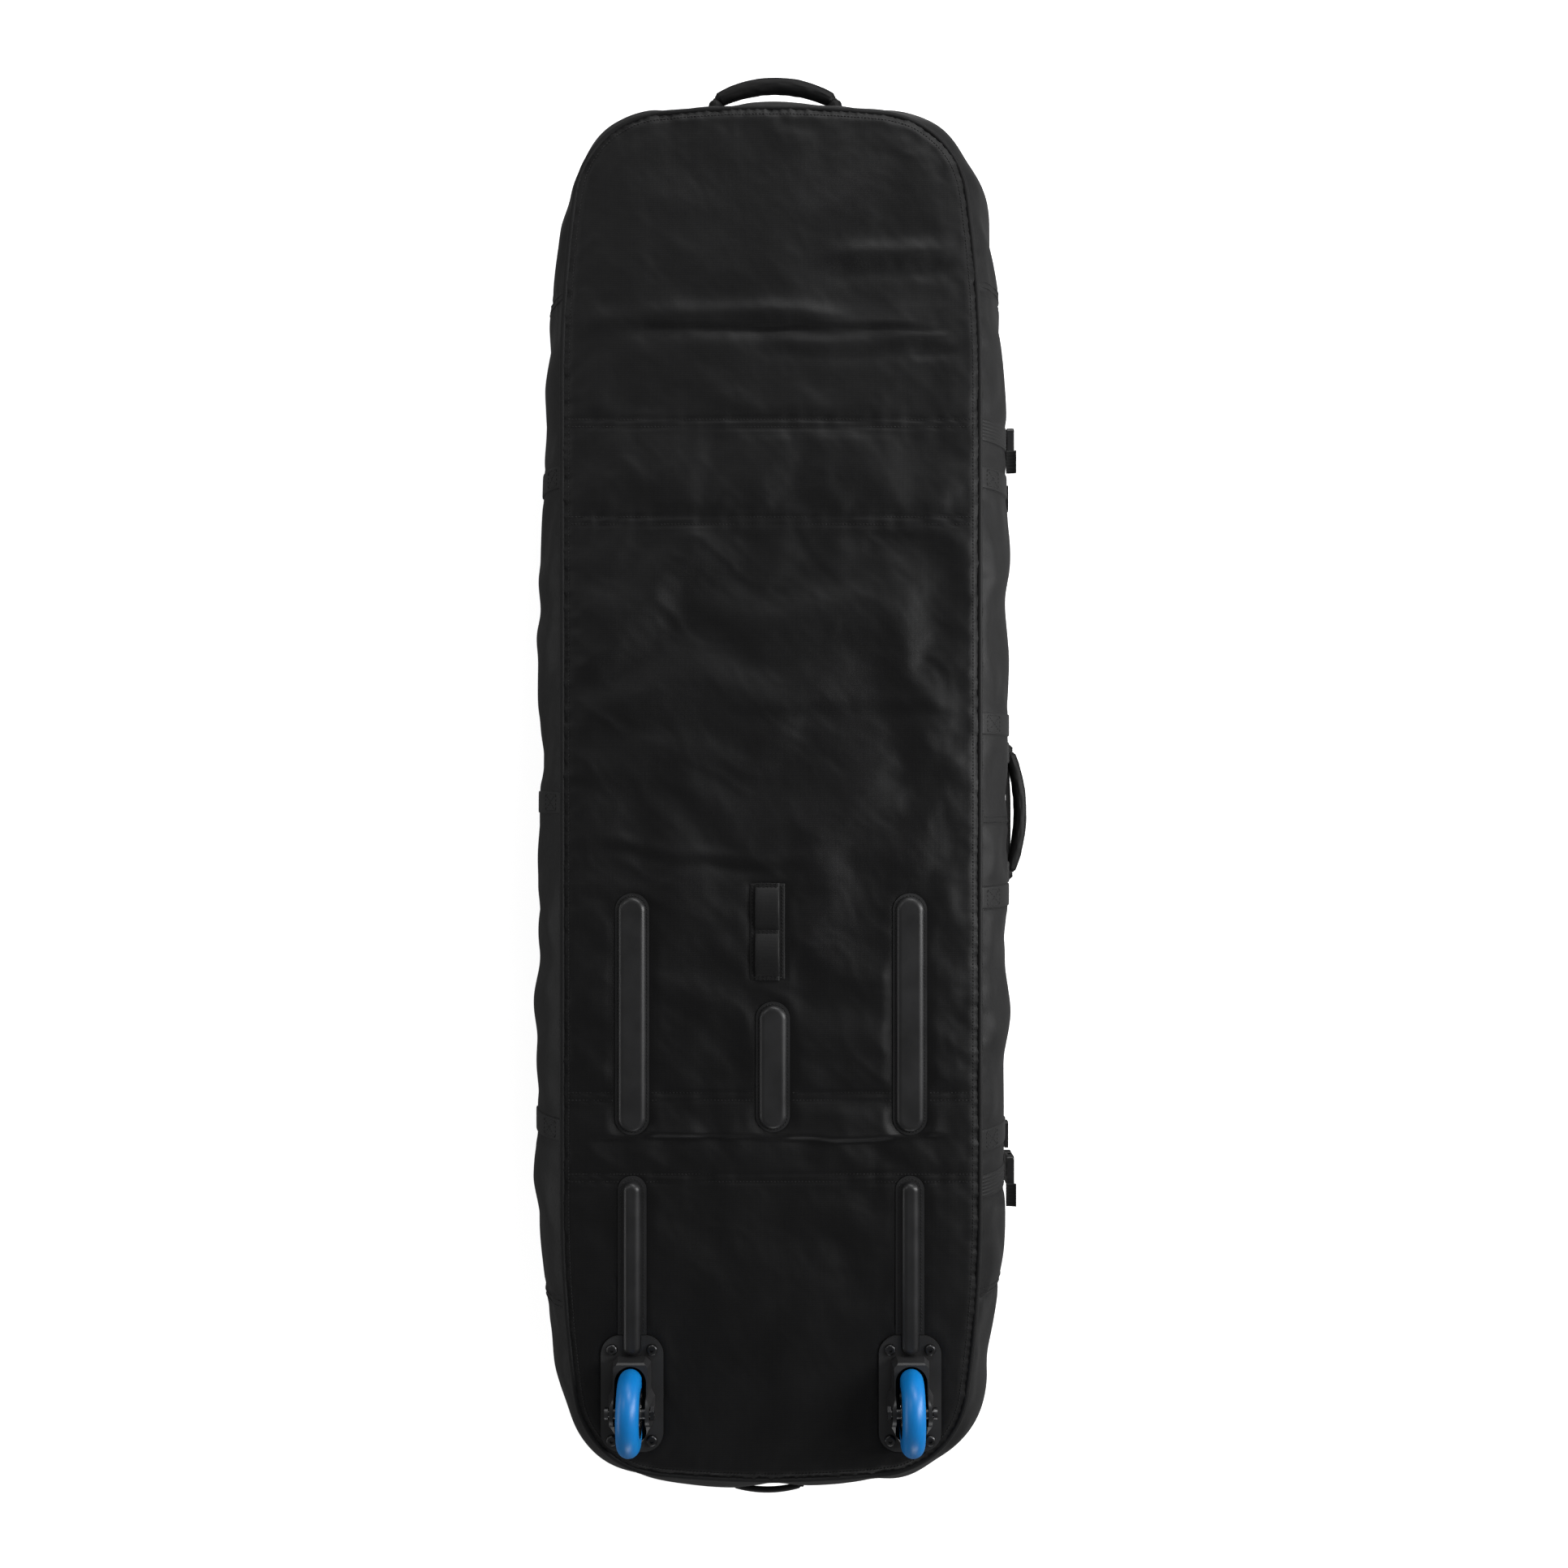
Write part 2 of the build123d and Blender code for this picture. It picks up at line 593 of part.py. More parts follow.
def wheel_tyre(x):
    """Urethane tyre with a rounded tread."""
    half = WHEEL_WIDTH / 2
    inner_low = (x - half, AXLE_Y + CORE_RADIUS)
    inner_high = (x + half, AXLE_Y + CORE_RADIUS)
    with BuildPart() as tyre:
        with BuildSketch(Plane.XY.offset(AXLE_Z)):
            with BuildLine():
                left_wall = Line(inner_low, (x - half, AXLE_Y + TREAD_SHOULDER))
                right_wall = Line((x + half, AXLE_Y + TREAD_SHOULDER), inner_high)
                ThreePointArc(left_wall @ 1, (x, AXLE_Y + WHEEL_RADIUS), right_wall @ 0)
                Line(inner_high, inner_low)
            make_face()
        revolve(axis=Axis((x, AXLE_Y, AXLE_Z), (1, 0, 0)))
    return tyre.part


def wheel_core(x):
    """Hub with a recessed web and a seat for each bearing."""
    half = WHEEL_WIDTH / 2
    seat = half - BEARING_WIDTH
    outline = [
        (-half, BEARING_OUTER),
        (-seat, BEARING_OUTER),
        (-seat, BEARING_OUTER - 2),
        (seat, BEARING_OUTER - 2),
        (seat, BEARING_OUTER),
        (half, BEARING_OUTER),
        (half, BEARING_OUTER + 3),
        (half - 4, BEARING_OUTER + 4),
        (half - 4, CORE_RADIUS - 4),
        (half, CORE_RADIUS - 3),
        (half, CORE_RADIUS),
        (-half, CORE_RADIUS),
        (-half, CORE_RADIUS - 3),
        (4 - half, CORE_RADIUS - 4),
        (4 - half, BEARING_OUTER + 4),
        (-half, BEARING_OUTER + 3),
    ]
    return turned(x, outline)


def bearing_outer_rings(x):
    """Outer race of both bearings, each with a shield on either face."""
    race = BEARING_OUTER - 1.8
    shield = INNER_RING_RADIUS + RUNNING_GAP
    seat = WHEEL_WIDTH / 2 - BEARING_WIDTH
    with BuildPart() as rings:
        for start in (-seat - BEARING_WIDTH, seat):
            end = start + BEARING_WIDTH
            outline = [
                (start, BEARING_OUTER),
                (start, race),
                (start + 0.3, race),
                (start + 0.3, shield),
                (start + 0.8, shield),
                (start + 0.8, race),
                (end - 0.8, race),
                (end - 0.8, shield),
                (end - 0.3, shield),
                (end - 0.3, race),
                (end, race),
                (end, BEARING_OUTER),
            ]
            add(turned(x, outline))
    return rings.part


for side, wheel_x in (("left", -WHEEL_X), ("right", WHEEL_X)):
    save(wheel_tyre(wheel_x), f"wheel_tyre_{side}")
    save(wheel_core(wheel_x), f"wheel_core_{side}")
    save(bearing_outer_rings(wheel_x), f"bearing_outer_rings_{side}")

SEAT = WHEEL_WIDTH / 2 - BEARING_WIDTH
with BuildPart() as bearing_inner_rings:
    for wheel_x in (-WHEEL_X, WHEEL_X):
        for start in (-SEAT - BEARING_WIDTH, SEAT):
            end = start + BEARING_WIDTH
            add(tube(wheel_x, start, end, BEARING_INNER, INNER_RING_RADIUS))
save(bearing_inner_rings.part, "bearing_inner_rings")

with BuildPart() as axle_spacers:
    for wheel_x in (-WHEEL_X, WHEEL_X):
        add(tube(wheel_x, -SEAT, SEAT, BEARING_INNER, BEARING_INNER + 1.5))
        for start, end in ((-POCKET_WIDTH / 2, -WHEEL_WIDTH / 2), (WHEEL_WIDTH / 2, POCKET_WIDTH / 2)):
            add(tube(wheel_x, start, end, BEARING_INNER, INNER_RING_RADIUS - 0.2))
save(axle_spacers.part, "axle_spacers")

with BuildPart() as axle_bolts:
    for wheel_x, outward in ((-WHEEL_X, -1), (WHEEL_X, 1)):
        shank = HEAD_X + AXLE_HEAD_LENGTH - 1
        with Locations((wheel_x, AXLE_Y, AXLE_Z)):
            Cylinder(AXLE_RADIUS, 2 * shank, rotation=(0, 90, 0))
        with Locations((wheel_x + outward * (HEAD_X + AXLE_HEAD_LENGTH / 2), AXLE_Y, AXLE_Z)):
            Cylinder(AXLE_HEAD_RADIUS, AXLE_HEAD_LENGTH, rotation=(0, 90, 0))
            Cylinder(AXLE_HEX_RADIUS, 2 * AXLE_HEAD_LENGTH, rotation=(0, 90, 0), mode=Mode.SUBTRACT)
save(axle_bolts.part, "axle_bolts")

with BuildPart() as axle_nuts:
    for wheel_x, inward in ((-WHEEL_X, 1), (WHEEL_X, -1)):
        start = HEAD_X if inward > 0 else -HEAD_X - AXLE_HEAD_LENGTH
        with BuildSketch(Plane.YZ.offset(wheel_x + start)):
            with Locations((AXLE_Y, AXLE_Z)):
                RegularPolygon(AXLE_HEAD_RADIUS, 6, major_radius=False)
                Circle(BEARING_INNER, mode=Mode.SUBTRACT)
        extrude(amount=AXLE_HEAD_LENGTH)
save(axle_nuts.part, "axle_nuts")

# ================================================================ storage loops
PATCH_TOP_Z = DEPTH + 1.2
PATCH_LENGTH = LOOP_PATCH_Y[1] - LOOP_PATCH_Y[0]
PATCH_MID_Y = (LOOP_PATCH_Y[0] + LOOP_PATCH_Y[1]) / 2

with BuildPart() as storage_patch:
    with BuildSketch(Plane.XY.offset(DEPTH)):
        with Locations((LOOP_X, PATCH_MID_Y)):
            RectangleRounded(LOOP_PATCH_WIDTH, PATCH_LENGTH, 2)
    extrude(amount=PATCH_TOP_Z - DEPTH)
save(storage_patch.part, "storage_patch")

with BuildPart() as storage_loops:
    hump = (PATCH_LENGTH - 3 * LOOP_TACK) / 2
    loop_top = PATCH_TOP_Z + WEBBING
    starts = (LOOP_PATCH_Y[0] + LOOP_TACK, LOOP_PATCH_Y[0] + 2 * LOOP_TACK + hump)
    with BuildSketch(Plane.YZ.offset(LOOP_X)):
        for start in starts:
            end = start + hump
            middle = (start + end) / 2
            with BuildLine():
                ThreePointArc((start, loop_top), (middle, loop_top + LOOP_RISE), (end, loop_top))
                Line((end, loop_top), (end, PATCH_TOP_Z))
                ThreePointArc((end, PATCH_TOP_Z), (middle, PATCH_TOP_Z + LOOP_RISE), (start, PATCH_TOP_Z))
                Line((start, PATCH_TOP_Z), (start, loop_top))
            make_face()
        for start in (LOOP_PATCH_Y[0], starts[0] + hump, starts[1] + hump):
            with Locations((start, PATCH_TOP_Z)):
                Rectangle(LOOP_TACK, WEBBING, align=(Align.MIN, Align.MIN))
    extrude(amount=LOOP_WIDTH / 2, both=True)
save(storage_loops.part, "storage_loops")


# ================================================================ webbing on the gusset
def web(x_range, y, width, z_range):
    """A stretch of webbing that follows the gusset, width wide and centred on y."""
    return region(webbing_ring, x_range, (y - width / 2, y + width / 2), z_range)


RIGHT_SIDE = (0.0, FAR)
LEFT_SIDE = (-FAR, 0.0)
STRAP_BACK_Z = (MID_Z + 22.0, GUSSET_HIGH - 1)
STRAP_FRONT_Z = (GUSSET_LOW + 1, MID_Z - 15.0)

with BuildPart() as gusset_tabs:
    for tab_y in RIGHT_TABS_Y:
        add(web(RIGHT_SIDE, tab_y, TAB_WIDTH, (TAB_LOW_Z, GUSSET_HIGH - 1)))
    for tab_y in LEFT_TABS_Y:
        add(web(LEFT_SIDE, tab_y, TAB_WIDTH, (TAB_LOW_Z, GUSSET_HIGH - 1)))
save(gusset_tabs.part, "gusset_tabs")

with BuildPart() as strap_webs_back:
    for strap_y in STRAP_Y.values():
        add(web(RIGHT_SIDE, strap_y, STRAP_WIDTH, STRAP_BACK_Z))
save(strap_webs_back.part, "strap_webs_back")

with BuildPart() as strap_webs_front:
    for strap_y in STRAP_Y.values():
        add(web(RIGHT_SIDE, strap_y, STRAP_WIDTH, STRAP_FRONT_Z))
save(strap_webs_front.part, "strap_webs_front")

with BuildPart() as strap_tails:
    for strap_y in STRAP_Y.values():
        tail_x = surface_x(TAIL_Z) + WEBBING_LIFT + WEBBING
        with BuildSketch(Plane.XY.offset(TAIL_Z)):
            with Locations((tail_x, strap_y + TAIL_OFFSET_Y)):
                Rectangle(TAIL_LENGTH, STRAP_WIDTH, align=(Align.MIN, Align.CENTER))
        extrude(amount=TAIL_THICKNESS)
save(strap_tails.part, "strap_tails")

BUCKLE_X = SEAM_HALF_WIDTH + BULGE + BUCKLE_LIFT
PRONG_GAP = 0.5


def buckle_socket(y):
    """Flat socket that the tongue's prongs slide up into."""
    with BuildPart() as socket:
        with BuildSketch(Plane.YZ.offset(BUCKLE_X)):
            with Locations((y, MID_Z)):
                RectangleRounded(BUCKLE_WIDTH, SOCKET_LENGTH, 4)
        extrude(amount=SOCKET_HEIGHT)
        fillet(socket.edges().group_by(Axis.X)[-1], 1.5)
        with Locations((BUCKLE_X + SOCKET_HEIGHT / 2, y, MID_Z - 5)):
            Box(SOCKET_HEIGHT - 3, BUCKLE_WIDTH - 8, SOCKET_LENGTH - 6, mode=Mode.SUBTRACT)
        for side in (-1, 1):
            with Locations((BUCKLE_X + SOCKET_HEIGHT / 2, y + side * BUCKLE_WIDTH / 2, MID_Z)):
                Box(SOCKET_HEIGHT - 4, 9, 8, mode=Mode.SUBTRACT)
        with Locations((BUCKLE_X + SOCKET_HEIGHT / 2, y, MID_Z + SOCKET_LENGTH / 2 - 2.6)):
            Box(SOCKET_HEIGHT - 4, STRAP_WIDTH, 2.0, mode=Mode.SUBTRACT)
    return socket.part


def buckle_tongue(y):
    """Tongue with two springy prongs, a guide and a bar for the webbing."""
    bar_z = MID_Z - SOCKET_LENGTH / 2 - PRONG_GAP - TONGUE_BAR / 2
    middle_x = BUCKLE_X + SOCKET_HEIGHT / 2
    thickness = SOCKET_HEIGHT - 3 - 2 * PRONG_GAP
    with BuildPart() as tongue:
        with BuildSketch(Plane.YZ.offset(BUCKLE_X)):
            with Locations((y, bar_z)):
                RectangleRounded(BUCKLE_WIDTH, TONGUE_BAR, 3)
                Rectangle(STRAP_WIDTH, 4, mode=Mode.SUBTRACT)
        extrude(amount=SOCKET_HEIGHT)
        fillet(tongue.edges().group_by(Axis.X)[-1], 1.0)
        prong_length = SOCKET_LENGTH - 12
        prong_z = bar_z + TONGUE_BAR / 2 + prong_length / 2 - 0.5
        for offset_y in (-9.5, 0, 9.5):
            with Locations((middle_x, y + offset_y, prong_z)):
                Box(thickness, 4.5, prong_length + 1)
    return tongue.part


for level, strap_y in STRAP_Y.items():
    save(buckle_socket(strap_y), f"buckle_socket_{level}")
    save(buckle_tongue(strap_y), f"buckle_tongue_{level}")

with BuildPart() as tab_sliders:
    for tab_y in (RIGHT_TABS_Y[0], RIGHT_TABS_Y[-1]):
        with BuildSketch(Plane.YZ.offset(SEAM_HALF_WIDTH + BULGE + 0.4)):
            with Locations((tab_y + TAB_SLIDER_OFFSET_Y, MID_Z)):
                RectangleRounded(TAB_SLIDER_WIDTH, TAB_SLIDER_HEIGHT, 3)
                with GridLocations(0, TAB_SLOT_PITCH, 1, 2):
                    Rectangle(TAB_SLOT_WIDTH, TAB_SLOT_HEIGHT, mode=Mode.SUBTRACT)
        extrude(amount=TAB_SLIDER_THICKNESS)
save(tab_sliders.part, "tab_sliders")

# ================================================================ handles
PATCH_OUT = WEBBING_LIFT + WEBBING
END_SURFACE = SEAM_END_Y + BULGE
PATCH_Z = (MID_Z - PATCH_HALF_HEIGHT, MID_Z + PATCH_HALF_HEIGHT)

with BuildPart() as handle_patches:
    for patch_y in SIDE_HANDLE_Y:
        add(web(RIGHT_SIDE, patch_y, PATCH_WIDTH, PATCH_Z))
    for patch_x in TOP_HANDLE_X:
        span = (patch_x - PATCH_WIDTH / 2, patch_x + PATCH_WIDTH / 2)
        add(region(webbing_ring, span, (0, FAR), PATCH_Z))
    for patch_x in BOTTOM_HANDLE_X:
        span = (patch_x - PATCH_WIDTH / 2, patch_x + PATCH_WIDTH / 2)
        add(region(webbing_ring, span, (-FAR, 0), PATCH_Z))
save(handle_patches.part, "handle_patches")


def bowed_cord(start, top, end, radius):
    """Round cord along an arc in the handle's plane, with ball ends at its pivots."""
    with BuildPart() as cord:
        with BuildLine(Plane.XY.offset(MID_Z)) as path:
            ThreePointArc(start, top, end)
        with BuildSketch(Plane(origin=path.line @ 0, z_dir=path.line % 0)):
            Circle(radius)
        sweep()
        with Locations((*start, MID_Z), (*end, MID_Z)):
            Sphere(radius)
    return cord.part


def bowed_grip(start, top, end, half_length, cord_radius, radius):
    """Padded sleeve round the middle of a bowed cord."""
    whole = ThreePointArc((*start, MID_Z), (*top, MID_Z), (*end, MID_Z))
    share = half_length / whole.length
    middle = whole.trim(0.5 - share, 0.5 + share)
    with BuildPart() as sleeve:
        with BuildLine():
            add(middle)
        with BuildSketch(Plane(origin=middle @ 0, z_dir=middle % 0)):
            Circle(radius)
            Circle(cord_radius, mode=Mode.SUBTRACT)
        sweep()
        ends = sleeve.edges().filter_by(GeomType.CIRCLE)
        fillet(ends.filter_by(lambda edge: abs(edge.radius - radius) < 0.01), GRIP_END_ROUNDING)
    return sleeve.part


top_y = END_SURFACE + PATCH_OUT + HANDLE_GAP + TOP_CORD_RADIUS
top_middle = (sum(TOP_HANDLE_X) / 2, top_y + TOP_HANDLE_RISE)
top_ends = [(x, top_y) for x in TOP_HANDLE_X]
save(bowed_cord(top_ends[0], top_middle, top_ends[1], TOP_CORD_RADIUS), "top_handle_web")
top_grip = bowed_grip(
    top_ends[0], top_middle, top_ends[1], TOP_GRIP_HALF_LENGTH, TOP_CORD_RADIUS, TOP_GRIP_RADIUS
)
save(top_grip, "top_handle_grip")

side_x = SEAM_HALF_WIDTH + BULGE + PATCH_OUT + HANDLE_GAP + SIDE_CORD_RADIUS
side_middle = (side_x + SIDE_HANDLE_RISE, sum(SIDE_HANDLE_Y) / 2)
side_ends = [(side_x, y) for y in SIDE_HANDLE_Y]
save(bowed_cord(side_ends[0], side_middle, side_ends[1], SIDE_CORD_RADIUS), "side_handle_web")
side_grip = bowed_grip(
    side_ends[0], side_middle, side_ends[1], SIDE_GRIP_HALF_LENGTH, SIDE_CORD_RADIUS, SIDE_GRIP_RADIUS
)
save(side_grip, "side_handle_grip")

bottom_y = -END_SURFACE - PATCH_OUT - HANDLE_GAP - BOTTOM_CORD_RADIUS
bottom_middle = (sum(BOTTOM_HANDLE_X) / 2, bottom_y - BOTTOM_HANDLE_RISE)
bottom_ends = [(x, bottom_y) for x in BOTTOM_HANDLE_X]
bottom_handle = bowed_cord(bottom_ends[0], bottom_middle, bottom_ends[1], BOTTOM_CORD_RADIUS)
save(bottom_handle, "bottom_handle")

# ================================================================ side strap
strap_low, strap_high = SIDE_STRAP_Y
strap_middle = (strap_low + strap_high) / 2
with BuildPart() as side_strap:
    with BuildSketch(Plane.XY.offset(SIDE_STRAP_Z[0])):
        with BuildLine():
            inner_bow = SIDE_STRAP_INNER_X + SIDE_STRAP_BOW
            outer_x = SIDE_STRAP_INNER_X + SIDE_STRAP_THICKNESS
            inner_low = (SIDE_STRAP_INNER_X, strap_low)
            inner_high = (SIDE_STRAP_INNER_X, strap_high)
            ThreePointArc(inner_low, (inner_bow, strap_middle), inner_high)
            Line(inner_high, (outer_x, strap_high))
            outer_bow = inner_bow + SIDE_STRAP_THICKNESS
            ThreePointArc((outer_x, strap_high), (outer_bow, strap_middle), (outer_x, strap_low))
            Line((outer_x, strap_low), inner_low)
        make_face()
    extrude(amount=SIDE_STRAP_Z[1] - SIDE_STRAP_Z[0])
save(side_strap.part, "side_strap")

with BuildPart() as side_strap_anchors:
    for anchor_y in (strap_low + ANCHOR_INSET, strap_high - ANCHOR_INSET):
        add(web(RIGHT_SIDE, anchor_y, ANCHOR_WIDTH, ANCHOR_Z))
save(side_strap_anchors.part, "side_strap_anchors")

# ================================================================ inner tie-down straps
TIE_TOP = FOAM_LOW - 0.3
with BuildPart() as tie_down_webs:
    with BuildSketch(Plane.XY.offset(TIE_TOP - WEBBING)):
        with Locations(*[(0, y) for y in TIE_DOWN_Y]):
            Rectangle(2 * TIE_DOWN_HALF_LENGTH, TIE_DOWN_WIDTH)
    extrude(amount=WEBBING)
save(tie_down_webs.part, "tie_down_webs")

with BuildPart() as tie_down_buckles:
    with BuildSketch(Plane.XY.offset(TIE_TOP - WEBBING)):
        with Locations(*[(0, y) for y in TIE_DOWN_Y]):
            RectangleRounded(TIE_BUCKLE_LENGTH, TIE_DOWN_WIDTH + 2 * TIE_BUCKLE_MARGIN, 6)
    extrude(amount=-TIE_BUCKLE_HEIGHT)
    fillet(tie_down_buckles.edges().group_by(Axis.Z)[0], 2)
save(tie_down_buckles.part, "tie_down_buckles")
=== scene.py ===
import json
from math import cos, pi, radians, sin

import bpy
import numpy as np
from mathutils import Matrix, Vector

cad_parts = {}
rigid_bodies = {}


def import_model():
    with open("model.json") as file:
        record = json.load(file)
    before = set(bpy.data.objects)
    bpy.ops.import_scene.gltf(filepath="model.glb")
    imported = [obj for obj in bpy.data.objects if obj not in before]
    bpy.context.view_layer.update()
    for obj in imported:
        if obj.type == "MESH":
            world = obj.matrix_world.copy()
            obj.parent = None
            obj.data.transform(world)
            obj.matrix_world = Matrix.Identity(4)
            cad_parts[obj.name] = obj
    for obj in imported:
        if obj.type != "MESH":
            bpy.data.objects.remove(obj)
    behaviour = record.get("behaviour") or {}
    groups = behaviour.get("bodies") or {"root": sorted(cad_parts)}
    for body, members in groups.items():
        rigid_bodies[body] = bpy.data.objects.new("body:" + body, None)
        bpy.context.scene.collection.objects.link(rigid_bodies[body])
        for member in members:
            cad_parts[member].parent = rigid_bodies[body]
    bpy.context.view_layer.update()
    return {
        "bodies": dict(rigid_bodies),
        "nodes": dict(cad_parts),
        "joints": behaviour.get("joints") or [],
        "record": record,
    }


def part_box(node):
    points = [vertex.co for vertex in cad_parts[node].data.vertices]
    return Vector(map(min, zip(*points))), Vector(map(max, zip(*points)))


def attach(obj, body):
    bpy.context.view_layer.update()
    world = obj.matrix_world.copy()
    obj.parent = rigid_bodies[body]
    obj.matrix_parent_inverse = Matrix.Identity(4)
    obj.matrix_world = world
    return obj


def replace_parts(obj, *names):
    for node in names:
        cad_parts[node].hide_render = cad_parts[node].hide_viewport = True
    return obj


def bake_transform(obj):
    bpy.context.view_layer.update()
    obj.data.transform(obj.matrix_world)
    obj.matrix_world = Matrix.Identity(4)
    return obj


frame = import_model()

# ---------------------------------------------------------------- shared dimensions, metres
# The bag lies on its lid: +Y to the top handle, +Z out of the back panel with the wheels.
MM = 0.001
UP = np.array([0.0, 0.0, 1.0])
PANEL_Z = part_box("back_panel")[1].z
PIPING_RADIUS = 3 * MM
HALF_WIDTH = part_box("back_piping")[1].x - PIPING_RADIUS
SEAM_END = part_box("back_piping")[1].y - PIPING_RADIUS
STRAIGHT = 442 * MM
SHOULDER_RADIUS = 1.5
CORNER_RADIUS = 0.1
SHOULDER_ANGLE = radians(8)
END_ANGLE = radians(6)
GUSSET_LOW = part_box("gusset_left")[0].z
GUSSET_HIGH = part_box("gusset_left")[1].z
MID_Z = (GUSSET_LOW + GUSSET_HIGH) / 2
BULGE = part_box("gusset_right")[1].x - HALF_WIDTH
HALF_CHORD = (GUSSET_HIGH - GUSSET_LOW) / 2
GUSSET_RADIUS = (HALF_CHORD**2 + BULGE**2) / (2 * BULGE)
ARC_HALF_ANGLE = np.arcsin(HALF_CHORD / GUSSET_RADIUS)
SEAMS_Y = (0.401, 0.2955, -0.3265, -0.4145)
SEAM_PAIR_GAP = 8 * MM
SIDE_SEAM_Y = 0.548
RIGHT_TABS_Y = (0.345, 0.077, -0.113, -0.377)
LEFT_TABS_Y = (0.345, -0.009, -0.365)
STRAPS_Y = (0.397, -0.427)
TAB_WIDTH = 25 * MM
STRAP_WIDTH = 26 * MM

# ---------------------------------------------------------------- camera
# Straight down from CAMERA_HEIGHT above the panel, where the picture is FRAME_WIDTH wide.
CAMERA_HEIGHT = 1.9
FRAME_WIDTH = 1.694
SENSOR = 36.0
camera_data = bpy.data.cameras.new("camera")
camera_data.sensor_width = SENSOR
camera_data.lens = SENSOR * CAMERA_HEIGHT / FRAME_WIDTH
camera = bpy.data.objects.new("camera", camera_data)
camera.location = (0.014, 0.011, PANEL_Z + CAMERA_HEIGHT)
bpy.context.collection.objects.link(camera)
bpy.context.scene.camera = camera
bpy.context.scene.view_settings.view_transform = "Standard"


# ---------------------------------------------------------------- node materials
def new_material(name):
    """An empty node material with its Principled shader."""
    material = bpy.data.materials.new(name)
    material.use_nodes = True
    return material, material.node_tree, material.node_tree.nodes["Principled BSDF"]


def node(tree, kind, **values):
    """A node of one kind, with its settings and socket values."""
    made = tree.nodes.new(kind)
    for key, value in values.items():
        if hasattr(made, key):
            setattr(made, key, value)
        else:
            made.inputs[key.replace("_", " ")].default_value = value
    return made


def dial(shader, **values):
    """Sets sockets of a node by name."""
    for key, value in values.items():
        shader.inputs[key.replace("_", " ")].default_value = value


def stretched_noise(tree, scale, detail=3.0, stretch=(1.0, 1.0, 1.0)):
    """Noise in object space, stretched by a scale for each axis."""
    where = node(tree, "ShaderNodeTexCoord")
    mapping = node(tree, "ShaderNodeMapping", Scale=stretch)
    noise = node(tree, "ShaderNodeTexNoise", Scale=scale, Detail=detail)
    tree.links.new(where.outputs["Object"], mapping.inputs["Vector"])
    tree.links.new(mapping.outputs["Vector"], noise.inputs["Vector"])
    return noise


# A band texture of scale 1 repeats every 0.314 m.
WAVE_BAND = 0.314


def yarns(tree, axis, period, distortion=0.6):
    """Bands that repeat every period along one axis of object space."""
    where = node(tree, "ShaderNodeTexCoord")
    wave = node(tree, "ShaderNodeTexWave", wave_type="BANDS", bands_direction=axis)
    dial(wave, Scale=WAVE_BAND / period, Distortion=distortion, Detail=1.0, Detail_Scale=0.4)
    tree.links.new(where.outputs["Object"], wave.inputs["Vector"])
    return wave


def mix(tree, blend, share, first, second):
    """A colour mix of two sockets."""
    made = node(tree, "ShaderNodeMix", data_type="RGBA", blend_type=blend)
    dial(made, Factor=share)
    tree.links.new(first, made.inputs[6])
    tree.links.new(second, made.inputs[7])
    return made.outputs[2]


def ramp(tree, source, low, high, start=0.0, end=1.0):
    """A two-colour ramp driven by a socket."""
    made = node(tree, "ShaderNodeValToRGB")
    made.color_ramp.elements[0].position = start
    made.color_ramp.elements[1].position = end
    made.color_ramp.elements[0].color = (*low, 1)
    made.color_ramp.elements[1].color = (*high, 1)
    tree.links.new(source, made.inputs["Fac"])
    return made.outputs["Color"]


def bump(tree, shader, height, strength, distance):
    """Bump on a shader from a height socket."""
    made = node(tree, "ShaderNodeBump", Strength=strength, Distance=distance)
    tree.links.new(height, made.inputs["Height"])
    tree.links.new(made.outputs["Normal"], shader.inputs["Normal"])


def fabric(name, dark, light, warp, weft, period, roughness, sheen):
    """Woven cloth: two sets of yarns, slow colour variation and a soft sheen."""
    material, tree, shader = new_material(name)
    lengthwise = yarns(tree, warp, period)
    crosswise = yarns(tree, weft, period * 1.3)
    weave = mix(tree, "MULTIPLY", 1.0, lengthwise.outputs["Color"], crosswise.outputs["Color"])
    streaks = stretched_noise(tree, 420.0, 2.0, (1.0, 0.06, 1.0))
    patches = stretched_noise(tree, 9.0, 4.0)
    woven = mix(tree, "MIX", 0.35, weave, streaks.outputs["Color"])
    colour = ramp(tree, woven, dark, light, 0.15, 0.85)
    shade = ramp(tree, patches.outputs["Fac"], (0.82,) * 3, (1.15,) * 3, 0.3, 0.7)
    final = mix(tree, "MULTIPLY", 1.0, colour, shade)
    tree.links.new(final, shader.inputs["Base Color"])
    wear = ramp(tree, patches.outputs["Fac"], (roughness - 0.06,) * 3, (roughness + 0.08,) * 3)
    tree.links.new(wear, shader.inputs["Roughness"])
    dial(shader, Sheen_Weight=sheen, Sheen_Roughness=0.45, Specular_IOR_Level=0.25)
    bump(tree, shader, woven, 0.35, 0.25 * MM)
    return material


def plastic(name, dark, light, roughness):
    """Moulded plastic with a fine grain and slightly uneven gloss."""
    material, tree, shader = new_material(name)
    fine = stretched_noise(tree, 900.0)
    slow = stretched_noise(tree, 25.0, 4.0)
    tree.links.new(ramp(tree, slow.outputs["Fac"], dark, light, 0.3, 0.7), shader.inputs["Base Color"])
    gloss = ramp(tree, slow.outputs["Fac"], (roughness - 0.05,) * 3, (roughness + 0.07,) * 3, 0.3, 0.7)
    tree.links.new(gloss, shader.inputs["Roughness"])
    dial(shader, Specular_IOR_Level=0.45)
    bump(tree, shader, fine.outputs["Fac"], 0.18, 0.15 * MM)
    return material


